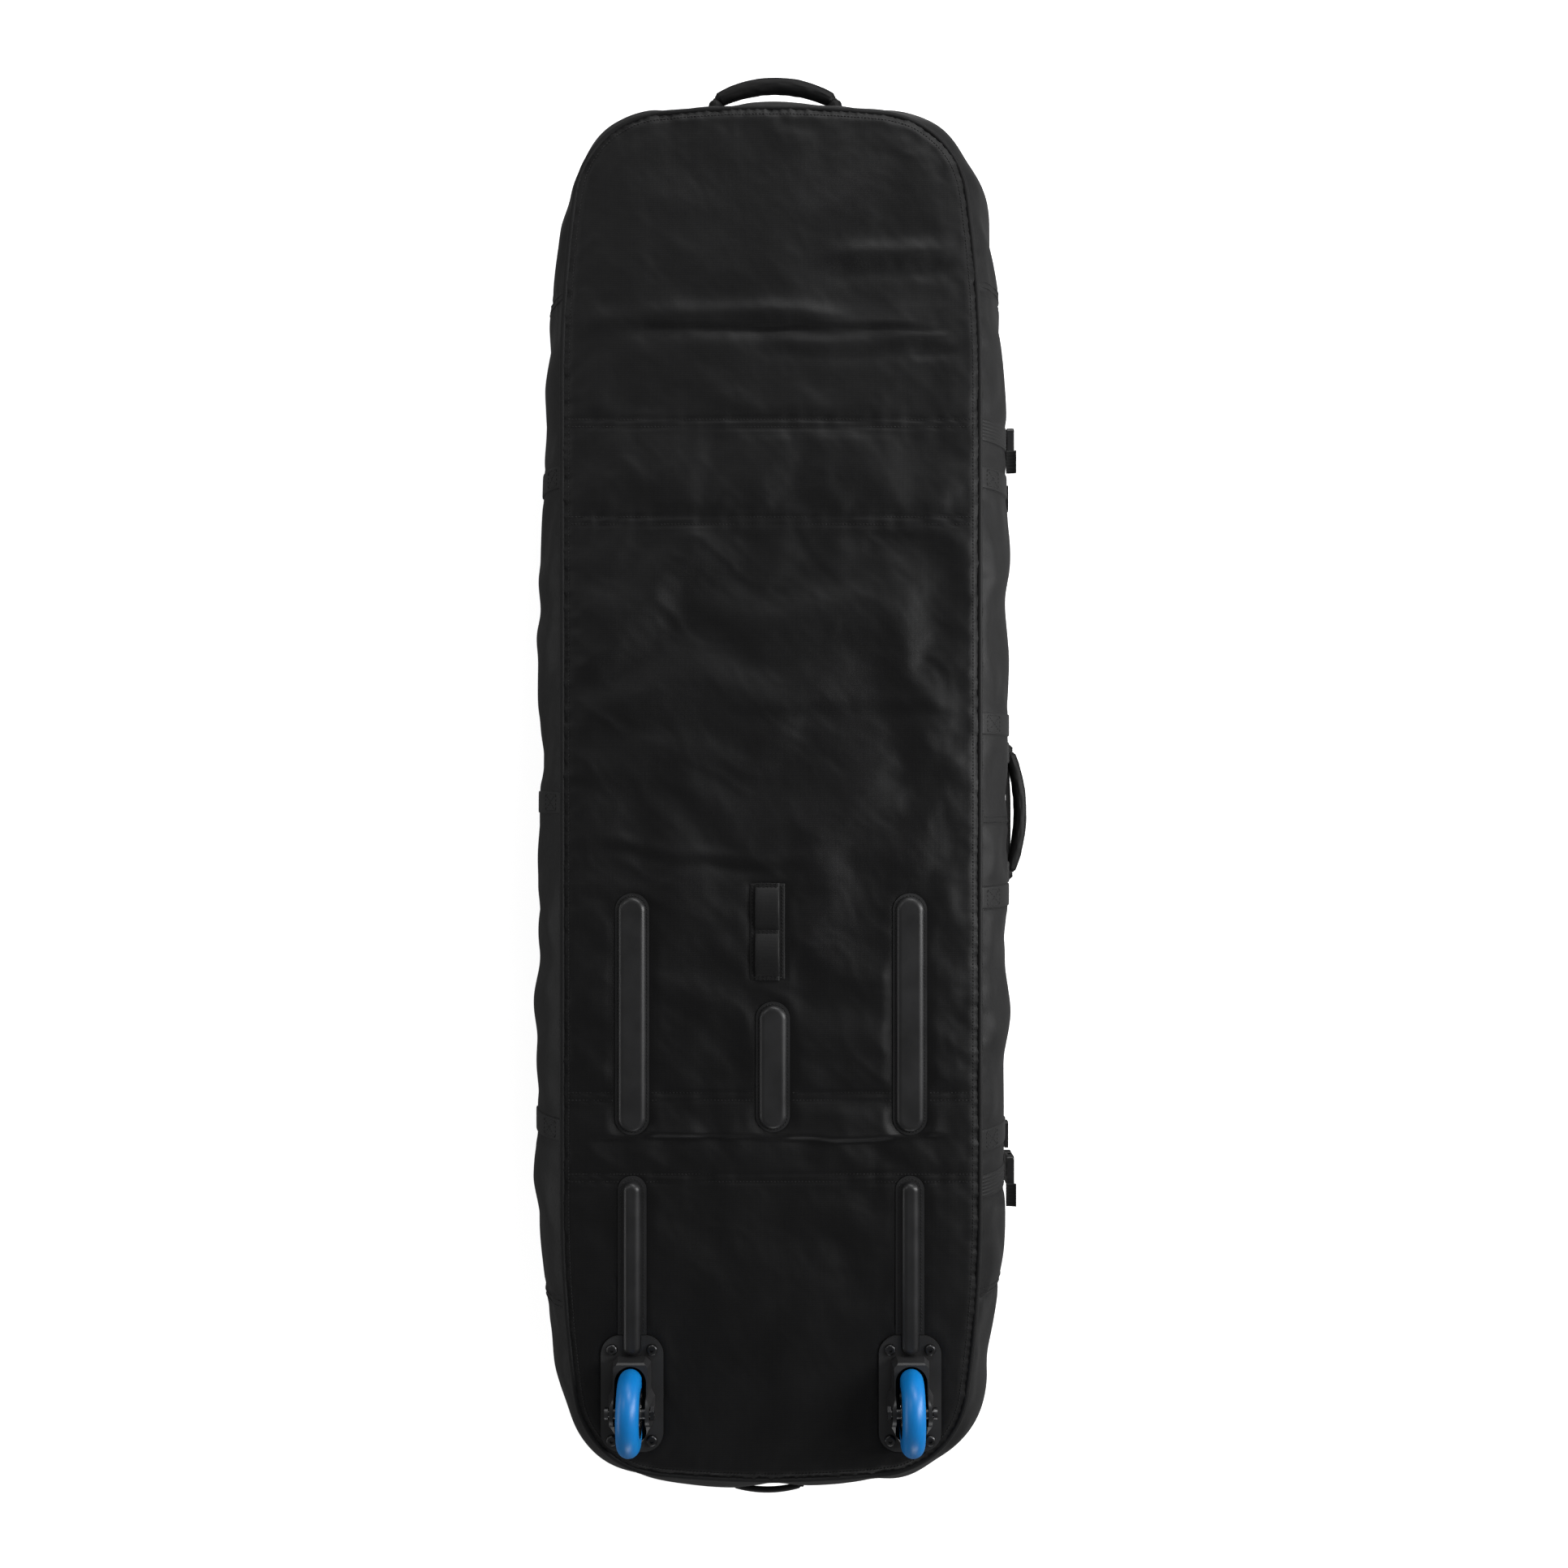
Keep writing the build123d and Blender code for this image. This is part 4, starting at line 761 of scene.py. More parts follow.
# ---------------------------------------------------------------- mesh pieces
def make_piece(name, points, faces, uv, material, body="bag", slot="webbing"):
    """A smooth mesh piece with its cloth coordinates, riding on a body."""
    points = np.asarray(points, float).reshape(-1, 3)
    faces = np.asarray(faces)
    mesh = bpy.data.meshes.new(name)
    mesh.from_pydata(points.tolist(), [], faces.tolist())
    mesh.materials.append(material)
    layer = mesh.uv_layers.new(name="cloth")
    corner = np.empty(len(mesh.loops), int)
    mesh.loops.foreach_get("vertex_index", corner)
    layer.data.foreach_set("uv", np.asarray(uv, float).reshape(-1, 2)[corner].ravel())
    mesh.polygons.foreach_set("use_smooth", [True] * len(mesh.polygons))
    mesh.update()
    piece = bpy.data.objects.new(name, mesh)
    bpy.context.collection.objects.link(piece)
    if body:
        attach(piece, body)
    return piece


def join_grids(grids):
    """One mesh from several (points grid, uv grid, flip) sheets."""
    points, faces, uvs, start = [], [], [], 0
    for grid, uv, flip in grids:
        rows, columns = grid.shape[:2]
        points.append(grid.reshape(-1, 3))
        uvs.append(uv.reshape(-1, 2))
        faces.append(grid_faces(rows, columns, start, flip))
        start += rows * columns
    return np.concatenate(points), np.concatenate(faces), np.concatenate(uvs)


def grids_piece(name, grids, material, body="bag", slot="webbing"):
    """One piece from several (points grid, uv grid, flip) sheets."""
    return make_piece(name, *join_grids(grids), material, body, slot)


def two_way(a, b):
    """A grid from two axes, and its pairs as cloth coordinates."""
    a_grid, b_grid = np.meshgrid(a, b, indexing="ij")
    return a_grid, b_grid, np.stack([a_grid, b_grid], -1)


def held(direction, count):
    """The same direction for every point of a path."""
    return np.tile(direction, (count, 1))


def headings(path):
    """Unit direction at every point of a path."""
    tangent = np.gradient(path, axis=0)
    return tangent / np.linalg.norm(tangent, axis=1, keepdims=True)


def swept(path, across, normal, section):
    """Grid of points: a closed section of (across, out) pairs carried along a path."""
    path, across, normal = (np.asarray(v, float) for v in (path, across, normal))
    section = np.broadcast_to(section, (len(path), *np.shape(section)[-2:]))
    closed = np.concatenate([section, section[:, :1]], 1)
    side = closed[..., :1] * across[:, None]
    return path[:, None] + side + closed[..., 1:] * normal[:, None]


def along(points):
    """Distance travelled along a path."""
    steps = np.linalg.norm(np.diff(points, axis=0), axis=1)
    return np.concatenate([[0], np.cumsum(steps)])


def ribbon_section(width, thickness, ribs=0, rib_height=0.35 * MM, per_side=29):
    """Section of flat webbing with rounded edges, and ribs along its outer face if wanted."""
    a = np.linspace(-1, 1, per_side)
    edge = (1 - np.abs(a) ** 8) ** 0.5
    top = thickness / 2 + thickness / 2 * edge
    top = top + rib_height * (np.cos(a * pi * ribs) - 1) / 2 * (edge > 0.3) if ribs else top
    low = thickness / 2 - thickness / 2 * edge
    upper = np.stack([a * width / 2, top], -1)
    lower = np.stack([a * width / 2, low], -1)[::-1][1:-1]
    return np.concatenate([upper, lower])


def round_section(radius, count=20):
    """Circle section, as (across, out) pairs; radius may be an array along the path."""
    angle = np.linspace(0, 2 * pi, count, endpoint=False)
    ring = np.stack([np.cos(angle), np.sin(angle)], -1)
    return np.asarray(radius)[..., None, None] * ring


def sweep_parts(path, across, normal, section):
    """Swept grid, its cloth coordinates and the two ends that close it."""
    grid = swept(path, across, normal, section)
    far = along(grid.mean(1))
    around = along(grid[0])
    uv = two_way(far, around)[2]
    parts = [(grid, uv, True)]
    for row, flip in ((0, True), (-1, False)):
        edge = grid[row]
        middle = np.broadcast_to(edge[:-1].mean(0), edge.shape)
        cap_uv = np.stack([uv[row], uv[row]])
        parts.append((np.stack([edge, middle]), cap_uv, flip))
    return parts


def swept_piece(name, runs, material, body="bag", slot="webbing"):
    """One piece from several swept runs of (path, across, normal, section)."""
    return grids_piece(name, [part for run in runs for part in sweep_parts(*run)], material, body, slot)


def slab(surface, a, b, thickness, relief=None):
    """Webbing sewn flat on a surface: a raised grid with rounded borders and a skirt."""
    a_grid, b_grid, _ = two_way(a, b)
    u = np.abs(np.linspace(-1, 1, len(a)))[:, None]
    v = np.abs(np.linspace(-1, 1, len(b)))[None, :]
    rim = (1 - u**12) ** 0.5 * (1 - v**30) ** 0.5
    lift = thickness * (0.35 + 0.65 * rim)
    if relief is not None:
        lift = lift + relief * (rim > 0.5)
    lift[[0, -1]] = lift[:, [0, -1]] = -0.6 * MM
    return surface(a_grid, b_grid, lift)


# ---------------------------------------------------------------- stitches
STITCH = 2.7 * MM
STITCH_GAP = 1.0 * MM
THREAD_RADIUS = 0.42 * MM


def stitch_template():
    """One stitch along X, half sunk at both ends: points and faces."""
    stations = np.array([-0.5, -0.36, 0.0, 0.36, 0.5])
    girth = np.array([0.45, 0.9, 1.0, 0.9, 0.45])
    height = np.array([-0.9, 0.1, 0.55, 0.1, -0.9])
    angle = np.linspace(0, 2 * pi, 6, endpoint=False)
    rings = []
    for where, size, up in zip(stations, girth, height):
        ring = np.stack([np.full(6, where * STITCH), np.cos(angle) * size, np.sin(angle) * size + up], -1)
        ring[:, 1:] *= THREAD_RADIUS
        rings.append(ring)
    faces = []
    for row in range(len(stations) - 1):
        for k in range(6):
            following = (k + 1) % 6
            faces.append([row * 6 + k, row * 6 + following, (row + 1) * 6 + following, (row + 1) * 6 + k])
    return np.concatenate(rings), np.array(faces)


TEMPLATE, TEMPLATE_FACES = stitch_template()


def spaced_along(path, spacing):
    """Middles and directions of steps of equal length along a path."""
    travelled = along(path)
    count = max(1, int(travelled[-1] / spacing))
    where = (np.arange(count) + 0.5) * travelled[-1] / count
    reach = travelled[-1] / count / 2
    fore = between(where + reach, travelled, path)
    back = between(where - reach, travelled, path)
    direction = fore - back
    return (fore + back) / 2, direction / np.linalg.norm(direction, axis=1, keepdims=True)


def stitch_run(path, normals, spacing=STITCH + STITCH_GAP):
    """Points of every stitch along a path, each turned to its direction and normal."""
    path, normals = np.asarray(path, float), np.asarray(normals, float)
    normals = np.broadcast_to(normals, path.shape)
    middle, direction = spaced_along(path, spacing)
    travelled = along(path)
    where = along(middle) + spacing / 2
    normal = between(where, travelled, normals)
    side = np.cross(normal, direction)
    side /= np.linalg.norm(side, axis=1, keepdims=True)
    normal = np.cross(direction, side)
    frame = np.stack([direction, side, normal], 1)
    return (middle[:, None] + np.einsum("pk,nkc->npc", TEMPLATE, frame)).reshape(-1, 3)


def stitch_piece(name, runs, body="bag"):
    """All the stitches of several (path, normals) runs as one piece."""
    points = np.concatenate([stitch_run(path, normals) for path, normals in runs])
    count = len(points) // len(TEMPLATE)
    offsets = np.arange(count)[:, None, None] * len(TEMPLATE)
    faces = (TEMPLATE_FACES[None] + offsets).reshape(-1, 4)
    return make_piece(name, points, faces, points[:, :2], THREAD, body)


def line_between(start, end, step=3 * MM):
    """Points on the straight line between two places, as rows."""
    start, end = np.asarray(start, float), np.asarray(end, float)
    count = max(2, int(np.linalg.norm(end - start) / step) + 1)
    return start + np.linspace(0, 1, count)[:, None] * (end - start)


def box_and_cross(low_a, high_a, low_b, high_b):
    """The lines of a box stitch with its diagonals, in two surface coordinates."""
    corners = [(low_a, low_b), (high_a, low_b), (high_a, high_b), (low_a, high_b)]
    lines = [line_between(corners[k], corners[(k + 1) % 4]) for k in range(4)]
    return lines + [line_between(corners[0], corners[2]), line_between(corners[1], corners[3])]


def on_panel(line, lift):
    """A line of x, y pairs laid on the panel, with its normals."""
    return panel_at(line[:, 0], line[:, 1], lift), UP


def on_gusset(line, lift):
    """A line of seam distance and height pairs laid on the gusset, with its normals."""
    t = level(line[:, 1])
    base = gusset_at(line[:, 0], t, 0.0, relief=False)
    outer = gusset_at(line[:, 0], t, 0.01, relief=False)
    return gusset_at(line[:, 0], t, lift), (outer - base) / 0.01


# ---------------------------------------------------------------- shell
PANEL_STEP = 3.0 * MM
FOAM_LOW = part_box("back_foam")[0].z
INNER_OFFSET = 4 * MM
LID_SEAM_Z = (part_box("lid_piping")[0].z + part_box("lid_piping")[1].z) / 2
BACK_SEAM_Z = (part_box("back_piping")[0].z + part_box("back_piping")[1].z) / 2
LID_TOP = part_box("lid_foam")[1].z


def back_panel():
    """Padded back panel, open under the wheel plates where the wells pass through."""
    flat = outline_grid(PANEL_STEP)
    x, y = flat[..., 0], flat[..., 1]
    edge = edge_distance(x, y)
    top = panel_at(x, y, 0.0, edge)
    under_z = FOAM_LOW + (BACK_SEAM_Z - FOAM_LOW) * (1 - smooth_step(edge, 0, 0.008))
    under = np.stack([x, y, under_z], -1)
    points, faces, uv = join_grids([(top, flat, True), (under, flat, False)])
    hidden = np.zeros(x.shape, bool)
    for plate in PLATES:
        hidden |= rounded(x, y, *plate, PLATE_CORNER) < -4.5 * MM
    hidden = np.concatenate([hidden.ravel(), hidden.ravel()])
    faces = faces[~hidden[faces].all(1)]
    piece = make_piece("back_panel_shell", points, faces, uv, SHELL, "bag", "shell_fabric")
    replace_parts(piece, "back_panel", "back_foam")


GUSSET_COLUMNS, GUSSET_ROWS = 1180, 74


def gusset_shell():
    """Padded gusset all the way round: folded outer fabric and a smooth lining."""
    start = SEAM_STATIONS[1]
    s = start + np.linspace(0, RING_LENGTH, GUSSET_COLUMNS)
    t = np.linspace(-1, 1, GUSSET_ROWS)
    s_grid, t_grid, _ = two_way(s, t)
    outer = gusset_at(s_grid, t_grid)
    inner = gusset_at(s_grid[::4], t_grid[::4], -INNER_OFFSET, relief=False)
    uv = np.stack([s_grid, t_grid * HEIGHT_SPAN], -1)
    grids = [(outer, uv, True), (inner, uv[::4], False)]
    piece = grids_piece("gusset_shell", grids, GUSSET, "bag", "shell_fabric")
    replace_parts(piece, "gusset_left", "gusset_right", "gusset_top", "gusset_bottom")


PIPING_GIRTH = 19 * MM


def piping_ring(name, z, body, node_name):
    """Fabric-covered cord in the seam, slightly uneven where it was sewn."""
    s = np.linspace(0, RING_LENGTH, 1500)
    point, out = ring_at(s)
    radius = PIPING_RADIUS * (1 + 0.05 * PANEL_NOISE(s / 0.012, s * 0))
    grid = swept(raised(point, z), raised(out, 0), held(UP, len(s)), round_section(radius, 14))
    uv = two_way(s, np.linspace(0, PIPING_GIRTH, 15))[2]
    piece = grids_piece(name, [(grid, uv, True)], TAPE, body, "piping_tape")
    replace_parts(piece, node_name)


def lid_shell():
    """Padded lid: outer face on the floor, lining above, pinched at the seam."""
    flat = outline_grid(6 * MM)
    x, y = flat[..., 0], flat[..., 1]
    edge = edge_distance(x, y)
    rise = 1 - smooth_step(edge, 0, 0.014)
    folds = np.abs(crumple(PANEL_FOLDS, x + 2, y, 0.09, radians(40), 2.0))
    outer_z = 0.3 * MM + (LID_SEAM_Z - 0.3 * MM) * rise + 1.1 * MM * folds * smooth_step(edge, 0, 0.05)
    inner_z = LID_TOP - (LID_TOP - LID_SEAM_Z) * rise
    outer = np.stack([x, y, outer_z], -1)
    inner = np.stack([x, y, inner_z], -1)
    grids = [(outer, flat, False), (inner, flat, True)]
    piece = grids_piece("lid_shell", grids, SHELL, "lid", "shell_fabric")
    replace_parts(piece, "lid_panel", "lid_foam")


# ---------------------------------------------------------------- zip and hinge tapes
TAPE_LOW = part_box("zip_tape_gusset")[0].z
TAPE_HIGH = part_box("zip_tape_lid")[1].z
LID_TAPE_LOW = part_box("zip_tape_lid")[0].z
HINGE_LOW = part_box("lid_hinge_web")[0].z
ZIP_END_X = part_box("lid_hinge_web")[1].x
ZIP_END_TOP = ring_s(ZIP_END_X, SEAM_END)
ZIP_END_LOW = ring_s(ZIP_END_X, -SEAM_END) - RING_LENGTH
ZIP_SPAN = (ZIP_END_LOW, ZIP_END_TOP)
HINGE_SPAN = (ZIP_END_TOP, ZIP_END_LOW + RING_LENGTH)
TAPE_THICKNESS = 1.4 * MM
TAPE_TUCK = GUSSET_LOW + 5 * MM


def tape_piece(name, start, end, low, high, body, node_name):
    """Upright woven tape along the seam between two heights."""
    s = np.linspace(start, end, int((end - start) / 0.003))
    z = np.linspace(low, high, 8)
    s_grid, z_grid, uv = two_way(s, z)
    point, out = ring_at(s_grid)
    wave = 0.25 * MM * PANEL_NOISE(s_grid / 0.03, z_grid / 0.02)
    outer = raised(point + out * wave[..., None], z_grid)
    inner = raised(point - out * TAPE_THICKNESS, z_grid)
    piece = grids_piece(name, [(outer, uv, True), (inner, uv, False)], TAPE, body, "piping_tape")
    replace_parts(piece, node_name)


TOOTH = 2.6 * MM


def zip_teeth(name, z, body):
    """One row of coil teeth along the zip, standing out of the tape."""
    count = int((ZIP_END_TOP - ZIP_END_LOW - 0.01) / TOOTH)
    s = ZIP_END_LOW + 0.005 + np.arange(count) * TOOTH
    point, out = ring_at(s)
    forward = np.stack([-out[:, 1], out[:, 0]], -1)
    angle = np.linspace(0, 2 * pi, 8, endpoint=False)
    rings = []
    for share, radius in ((-0.5, 0.5), (-0.3, 1.0), (0.3, 1.0), (0.5, 0.5)):
        flat = (0.95 * MM * radius * np.cos(angle))[None, :, None] * forward[:, None]
        outward = (0.6 * MM + 1.1 * MM * radius * np.sin(angle))[None, :, None] * out[:, None]
        rings.append(raised(point[:, None] + flat + outward, z + share * TOOTH))
    points = np.stack(rings, 1).reshape(-1, 3)
    around = [(k, (k + 1) % 8) for k in range(8)]
    strip = np.array([[a, b, b + 8, a + 8] for a, b in around])
    local = np.concatenate([strip + 8 * row for row in range(3)])
    faces = (local[None] + np.arange(count)[:, None, None] * 32).reshape(-1, 4)
    make_piece(name, points, faces, points[:, :2], BUCKLE, body, "moulded_plastic")


def hinge_strip():
    """Strip of fabric that joins the lid to the hinge web along the left side."""
    y = np.linspace(-STRAIGHT, STRAIGHT, 300)
    z = np.linspace(LID_TOP - 4 * MM, HINGE_LOW + 3 * MM, 12)
    y_grid, z_grid, uv = two_way(y, z)
    outer_x = np.full(y_grid.shape, -HALF_WIDTH - 1.2 * MM)
    outer = np.stack([outer_x, y_grid, z_grid], -1)
    inner = np.stack([outer_x + 1.0 * MM, y_grid, z_grid], -1)
    grids = [(outer, uv, False), (inner, uv, True)]
    piece = grids_piece("hinge_strip", grids, TAPE, None, "piping_tape")
    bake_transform(piece)


# ---------------------------------------------------------------- webbing on the gusset
WEB = 1.7 * MM
TAB_LOW_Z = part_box("gusset_tabs")[0].z
SEWN_HIGH_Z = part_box("gusset_tabs")[1].z
FRONT_LOW_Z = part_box("strap_webs_front")[0].z
FRONT_HIGH_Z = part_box("strap_webs_front")[1].z
BACK_LOW_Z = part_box("strap_webs_back")[0].z
PATCH_LOW_Z, PATCH_HIGH_Z = MID_Z - 20 * MM, MID_Z + 20 * MM
TOP_HANDLE_X = (-0.062, 0.070)
BOTTOM_HANDLE_X = (-0.044, 0.034)
RIB_COUNT = 7


def gusset_slab(centre, half, low_z, high_z, ribs=0):
    """Webbing sewn on the gusset about a seam distance, between two heights."""
    s = centre + np.linspace(-half, half, 43)
    t = np.linspace(level(low_z), level(high_z), max(8, int((high_z - low_z) / 0.0015)))
    relief = None
    if ribs:
        relief = -0.45 * MM * (0.5 + 0.5 * np.cos(np.linspace(-pi, pi, len(s)) * ribs))[:, None]
    return slab(gusset_at, s, t, WEB, relief), two_way(s, t * HEIGHT_SPAN)[2], False


def gusset_webbing():
    """Smooth tabs, ribbed straps and handle patches on the gusset."""
    tabs = [gusset_slab(s, TAB_WIDTH / 2, TAB_LOW_Z, SEWN_HIGH_Z) for s in RIGHT_TABS_Y + LEFT_TABS_S]
    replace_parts(grids_piece("tabs", tabs, WEBBING), "gusset_tabs")
    backs = [gusset_slab(y, STRAP_WIDTH / 2, BACK_LOW_Z, SEWN_HIGH_Z, RIB_COUNT) for y in STRAPS_Y]
    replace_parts(grids_piece("straps_back", backs, WEBBING), "strap_webs_back")
    fronts = [gusset_slab(y, STRAP_WIDTH / 2, FRONT_LOW_Z, FRONT_HIGH_Z, RIB_COUNT) for y in STRAPS_Y]
    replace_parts(grids_piece("straps_front", fronts, WEBBING), "strap_webs_front")
    places = list(SIDE_HANDLE_Y) + [ring_s(x, SEAM_END) for x in TOP_HANDLE_X]
    places += [ring_s(x, -SEAM_END) for x in BOTTOM_HANDLE_X]
    patches = [gusset_slab(s, PATCH_HALF, PATCH_LOW_Z, PATCH_HIGH_Z) for s in places]
    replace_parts(grids_piece("handle_patch_webs", patches, WEBBING), "handle_patches")
    anchors = [gusset_slab(y, ANCHOR_HALF, ANCHOR_LOW_Z, ANCHOR_HIGH_Z) for y in ANCHORS_Y]
    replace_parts(grids_piece("strap_anchors", anchors, WEBBING), "side_strap_anchors")
    boxes = (
        (RIGHT_TABS_Y + LEFT_TABS_S, TAB_WIDTH / 2 - 3.5 * MM, 0.192, 0.214),
        (places, PATCH_HALF - 3 * MM, 0.111, 0.144),
        (ANCHORS_Y, ANCHOR_HALF - 3 * MM, 0.060, 0.100),
    )
    runs = []
    for middles, half, low, high in boxes:
        for s in middles:
            runs += [on_gusset(line, WEB) for line in box_and_cross(s - half, s + half, low, high)]
    stitch_piece("webbing_stitches", runs)


def strap_tails():
    """Loose webbing ends that stand off the gusset beside each buckle."""
    low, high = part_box("strap_tails")
    runs = []
    for y in STRAPS_Y:
        x = np.linspace(high.x - 11 * MM, high.x, 12)
        curl = 2.5 * MM * np.linspace(0, 1, 12) ** 2
        path = np.stack([x, np.full(12, y - 24 * MM), low.z + curl], -1)
        section = ribbon_section(STRAP_WIDTH, 3.2 * MM, RIB_COUNT)
        runs.append((path, held([0.0, 1.0, 0.0], 12), held(UP, 12), section))
    piece = swept_piece("strap_tail_webs", runs, WEBBING)
    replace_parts(piece, "strap_tails")


def side_strap():
    """Webbing that bows off the right gusset between its two anchors."""
    low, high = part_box("side_strap")
    count = 90
    share = np.linspace(-1, 1, count)
    middle_y, half_y = (low.y + high.y) / 2, (high.y - low.y) / 2
    x = high.x - 3.0 * MM - (high.x - low.x - 3.0 * MM) * share**2
    x = x + 0.6 * MM * PANEL_NOISE(share * 4, share * 0)
    path = np.stack([x, middle_y + half_y * share, np.full(count, (low.z + high.z) / 2)], -1)
    across = held(UP, count)
    normal = np.cross(headings(path), across)
    section = ribbon_section(high.z - low.z, 2.2 * MM, 11, 0.4 * MM, 67)
    piece = swept_piece("side_strap_web", [(path, across, normal, section)], WEBBING)
    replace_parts(piece, "side_strap")


def tie_downs():
    """Straps inside the bag that hold the board against the back panel."""
    low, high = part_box("tie_down_webs")
    runs = []
    for y in (low.y + 0.019, high.y - 0.019):
        x = np.linspace(low.x, high.x, 120)
        path = np.stack([x, np.full(120, y), low.z + 0.4 * MM * np.sin(x * 60)], -1)
        section = ribbon_section(38 * MM, 1.6 * MM, 11, 0.3 * MM, 67)
        runs.append((path, held([0.0, -1.0, 0.0], 120), held(UP, 120), section))
    piece = swept_piece("tie_down_straps", runs, WEBBING)
    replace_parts(piece, "tie_down_webs")


# ---------------------------------------------------------------- handles
def arc_through(start, top, end, count):
    """Points and tangents on the arc through three places in the plane of the handles."""
    chord = end - start
    half = np.linalg.norm(chord) / 2
    rise_dir = top - (start + end) / 2
    rise = np.linalg.norm(rise_dir)
    radius = (half**2 + rise**2) / (2 * rise)
    up, along_chord = rise_dir / rise, chord / (2 * half)
    centre = (start + end) / 2 - up * (radius - rise)
    angle = np.linspace(-1, 1, count) * np.arcsin(half / radius)
    sines, cosines = np.sin(angle)[:, None], np.cos(angle)[:, None]
    return centre + radius * (sines * along_chord + cosines * up), cosines * along_chord - sines * up


HANDLE_STATIONS = 130


def handle(name, node_web, node_grip, start, end, rise, outward, cord, grip):
    """A webbing handle on its body, with a padded and sewn sleeve where it has one."""
    start, end = np.array(start, float), np.array(end, float)
    top = (start + end) / 2 + np.array(outward) * rise
    path, tangent = arc_through(start, top, end, HANDLE_STATIONS)
    up = held(UP, HANDLE_STATIONS)
    normal = np.cross(up, tangent)
    normal *= np.sign((normal @ np.array(outward)).sum())
    s = along(path)
    edge = np.minimum(s, s[-1] - s)
    taper = np.clip(edge / 0.004, 0.25, 1) ** 0.5
    section = round_section(cord * taper, 24)
    piece = swept_piece(f"{name}_webbing", [(path, up, normal, section)], WEBBING, name, "webbing")
    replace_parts(piece, node_web)
    if not grip:
        return
    where = s - s[-1] / 2
    swell = grip * (1.04 - 0.2 * np.clip(np.abs(where) / (s[-1] / 2), 0, 1) ** 3)
    swell = swell * np.clip(edge / 0.003, 0.5, 1) ** 0.4
    angle = np.linspace(0, 2 * pi, 48, endpoint=False)
    quilt = 1 - 0.06 * bell(angle - 1.5 * pi, 0.12)
    crinkle = 1 + 0.035 * PANEL_NOISE(where[:, None] / 0.008, angle[None] * 2.2)
    radius_at = swell[:, None] * quilt * crinkle
    section = np.stack([radius_at * np.cos(angle), radius_at * np.sin(angle)], -1)
    sleeve = swept_piece(f"{name}_sleeve", [(path, up, normal, section)], SLEEVE, name, "piping_tape")
    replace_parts(sleeve, node_grip)
    seams = []
    for turn in (0.25 * pi, 0.75 * pi):
        direction = (cos(turn) * up + sin(turn) * normal)[6:-6]
        seams.append((path[6:-6] + swell[6:-6, None] * direction, direction))
    stitch_piece(f"{name}_stitches", seams, name)


def half_height(node_name):
    """Half the height of a CAD node: a handle's radius."""
    low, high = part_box(node_name)
    return (high.z - low.z) / 2


def handles():
    """Top carry handle, side handle and the plain pull at the wheel end."""
    top_cord, side_cord, pull_cord = map(half_height, ("top_handle_web", "side_handle_web", "bottom_handle"))
    top_low, top_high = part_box("top_handle_web")
    side_low, side_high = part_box("side_handle_web")
    pull_low, pull_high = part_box("bottom_handle")
    top_y, side_x, pull_y = top_low.y + top_cord, side_low.x + side_cord, pull_high.y - pull_cord
    ends = [(x, top_y, MID_Z) for x in TOP_HANDLE_X]
    rise, grip = top_high.y - top_cord - top_y, half_height("top_handle_grip")
    handle("top_handle", "top_handle_web", "top_handle_grip", *ends, rise, (0, 1, 0), top_cord, grip)
    ends = [(side_x, y, MID_Z) for y in SIDE_HANDLE_Y]
    rise, grip = side_high.x - side_cord - side_x, half_height("side_handle_grip")
    handle("side_handle", "side_handle_web", "side_handle_grip", *ends, rise, (1, 0, 0), side_cord, grip)
    ends = [(x, pull_y, MID_Z) for x in BOTTOM_HANDLE_X]
    rise = pull_y - pull_low.y - pull_cord
    handle("bottom_handle", "bottom_handle", None, *ends, rise, (0, -1, 0), pull_cord, 0)
    handle_roots(top_y, side_x, pull_y)


def handle_roots(top_y, side_x, pull_y):
    """Stout sewn ends of the handles, from each patch out to where the handle swings."""
    count = 14
    steps = np.linspace(0, 1, count)[:, None]
    groups = (
        ([(x, top_y) for x in TOP_HANDLE_X], (0.0, 1.0), 7.8),
        ([(side_x, y) for y in SIDE_HANDLE_Y], (1.0, 0.0), 6.2),
        ([(x, pull_y) for x in BOTTOM_HANDLE_X], (0.0, -1.0), 4.2),
    )
    runs = []
    for places, out, radius in groups:
        out = np.array([*out, 0.0])
        middle = np.array([*np.mean(places, axis=0), MID_Z])
        for place in places:
            tip = np.array([*place, MID_Z])
            s = ring_s(*(tip - out * BULGE)[:2])
            fabric = gusset_at(np.array([s]), np.array([0.0]))[0]
            away = (tip - middle) / np.linalg.norm(tip - middle)
            foot = tip - out * ((tip - fabric) @ out + 3 * MM) + away * 5 * MM
            path = foot + (tip + out * 2 * MM - foot) * steps
            tip_round = np.clip((1 - steps[:, 0]) / 0.2, 0.3, 1) ** 0.5
            swell = radius * MM * (1.25 - 0.25 * steps[:, 0]) * tip_round
            tangent = (path[-1] - path[0]) / np.linalg.norm(path[-1] - path[0])
            normal = held(np.cross(tangent, UP), count)
            runs.append((path, held(UP, count), normal, round_section(swell, 24)))
    swept_piece("handle_roots", runs, SLEEVE)


# ---------------------------------------------------------------- back panel details
PATCH_THICKNESS = 1.3 * MM


def stitched_bars(centre, middles, z):
    """Bar tacks across a strip: four short rows at each middle."""
    runs = []
    for middle in middles:
        for shift in (-1.2 * MM, 1.2 * MM):
            for side in (-1, 1):
                y = middle + shift * side
                runs.append((line_between((centre - 11 * MM, y, z), (centre + 11 * MM, y, z)), UP))
    return runs


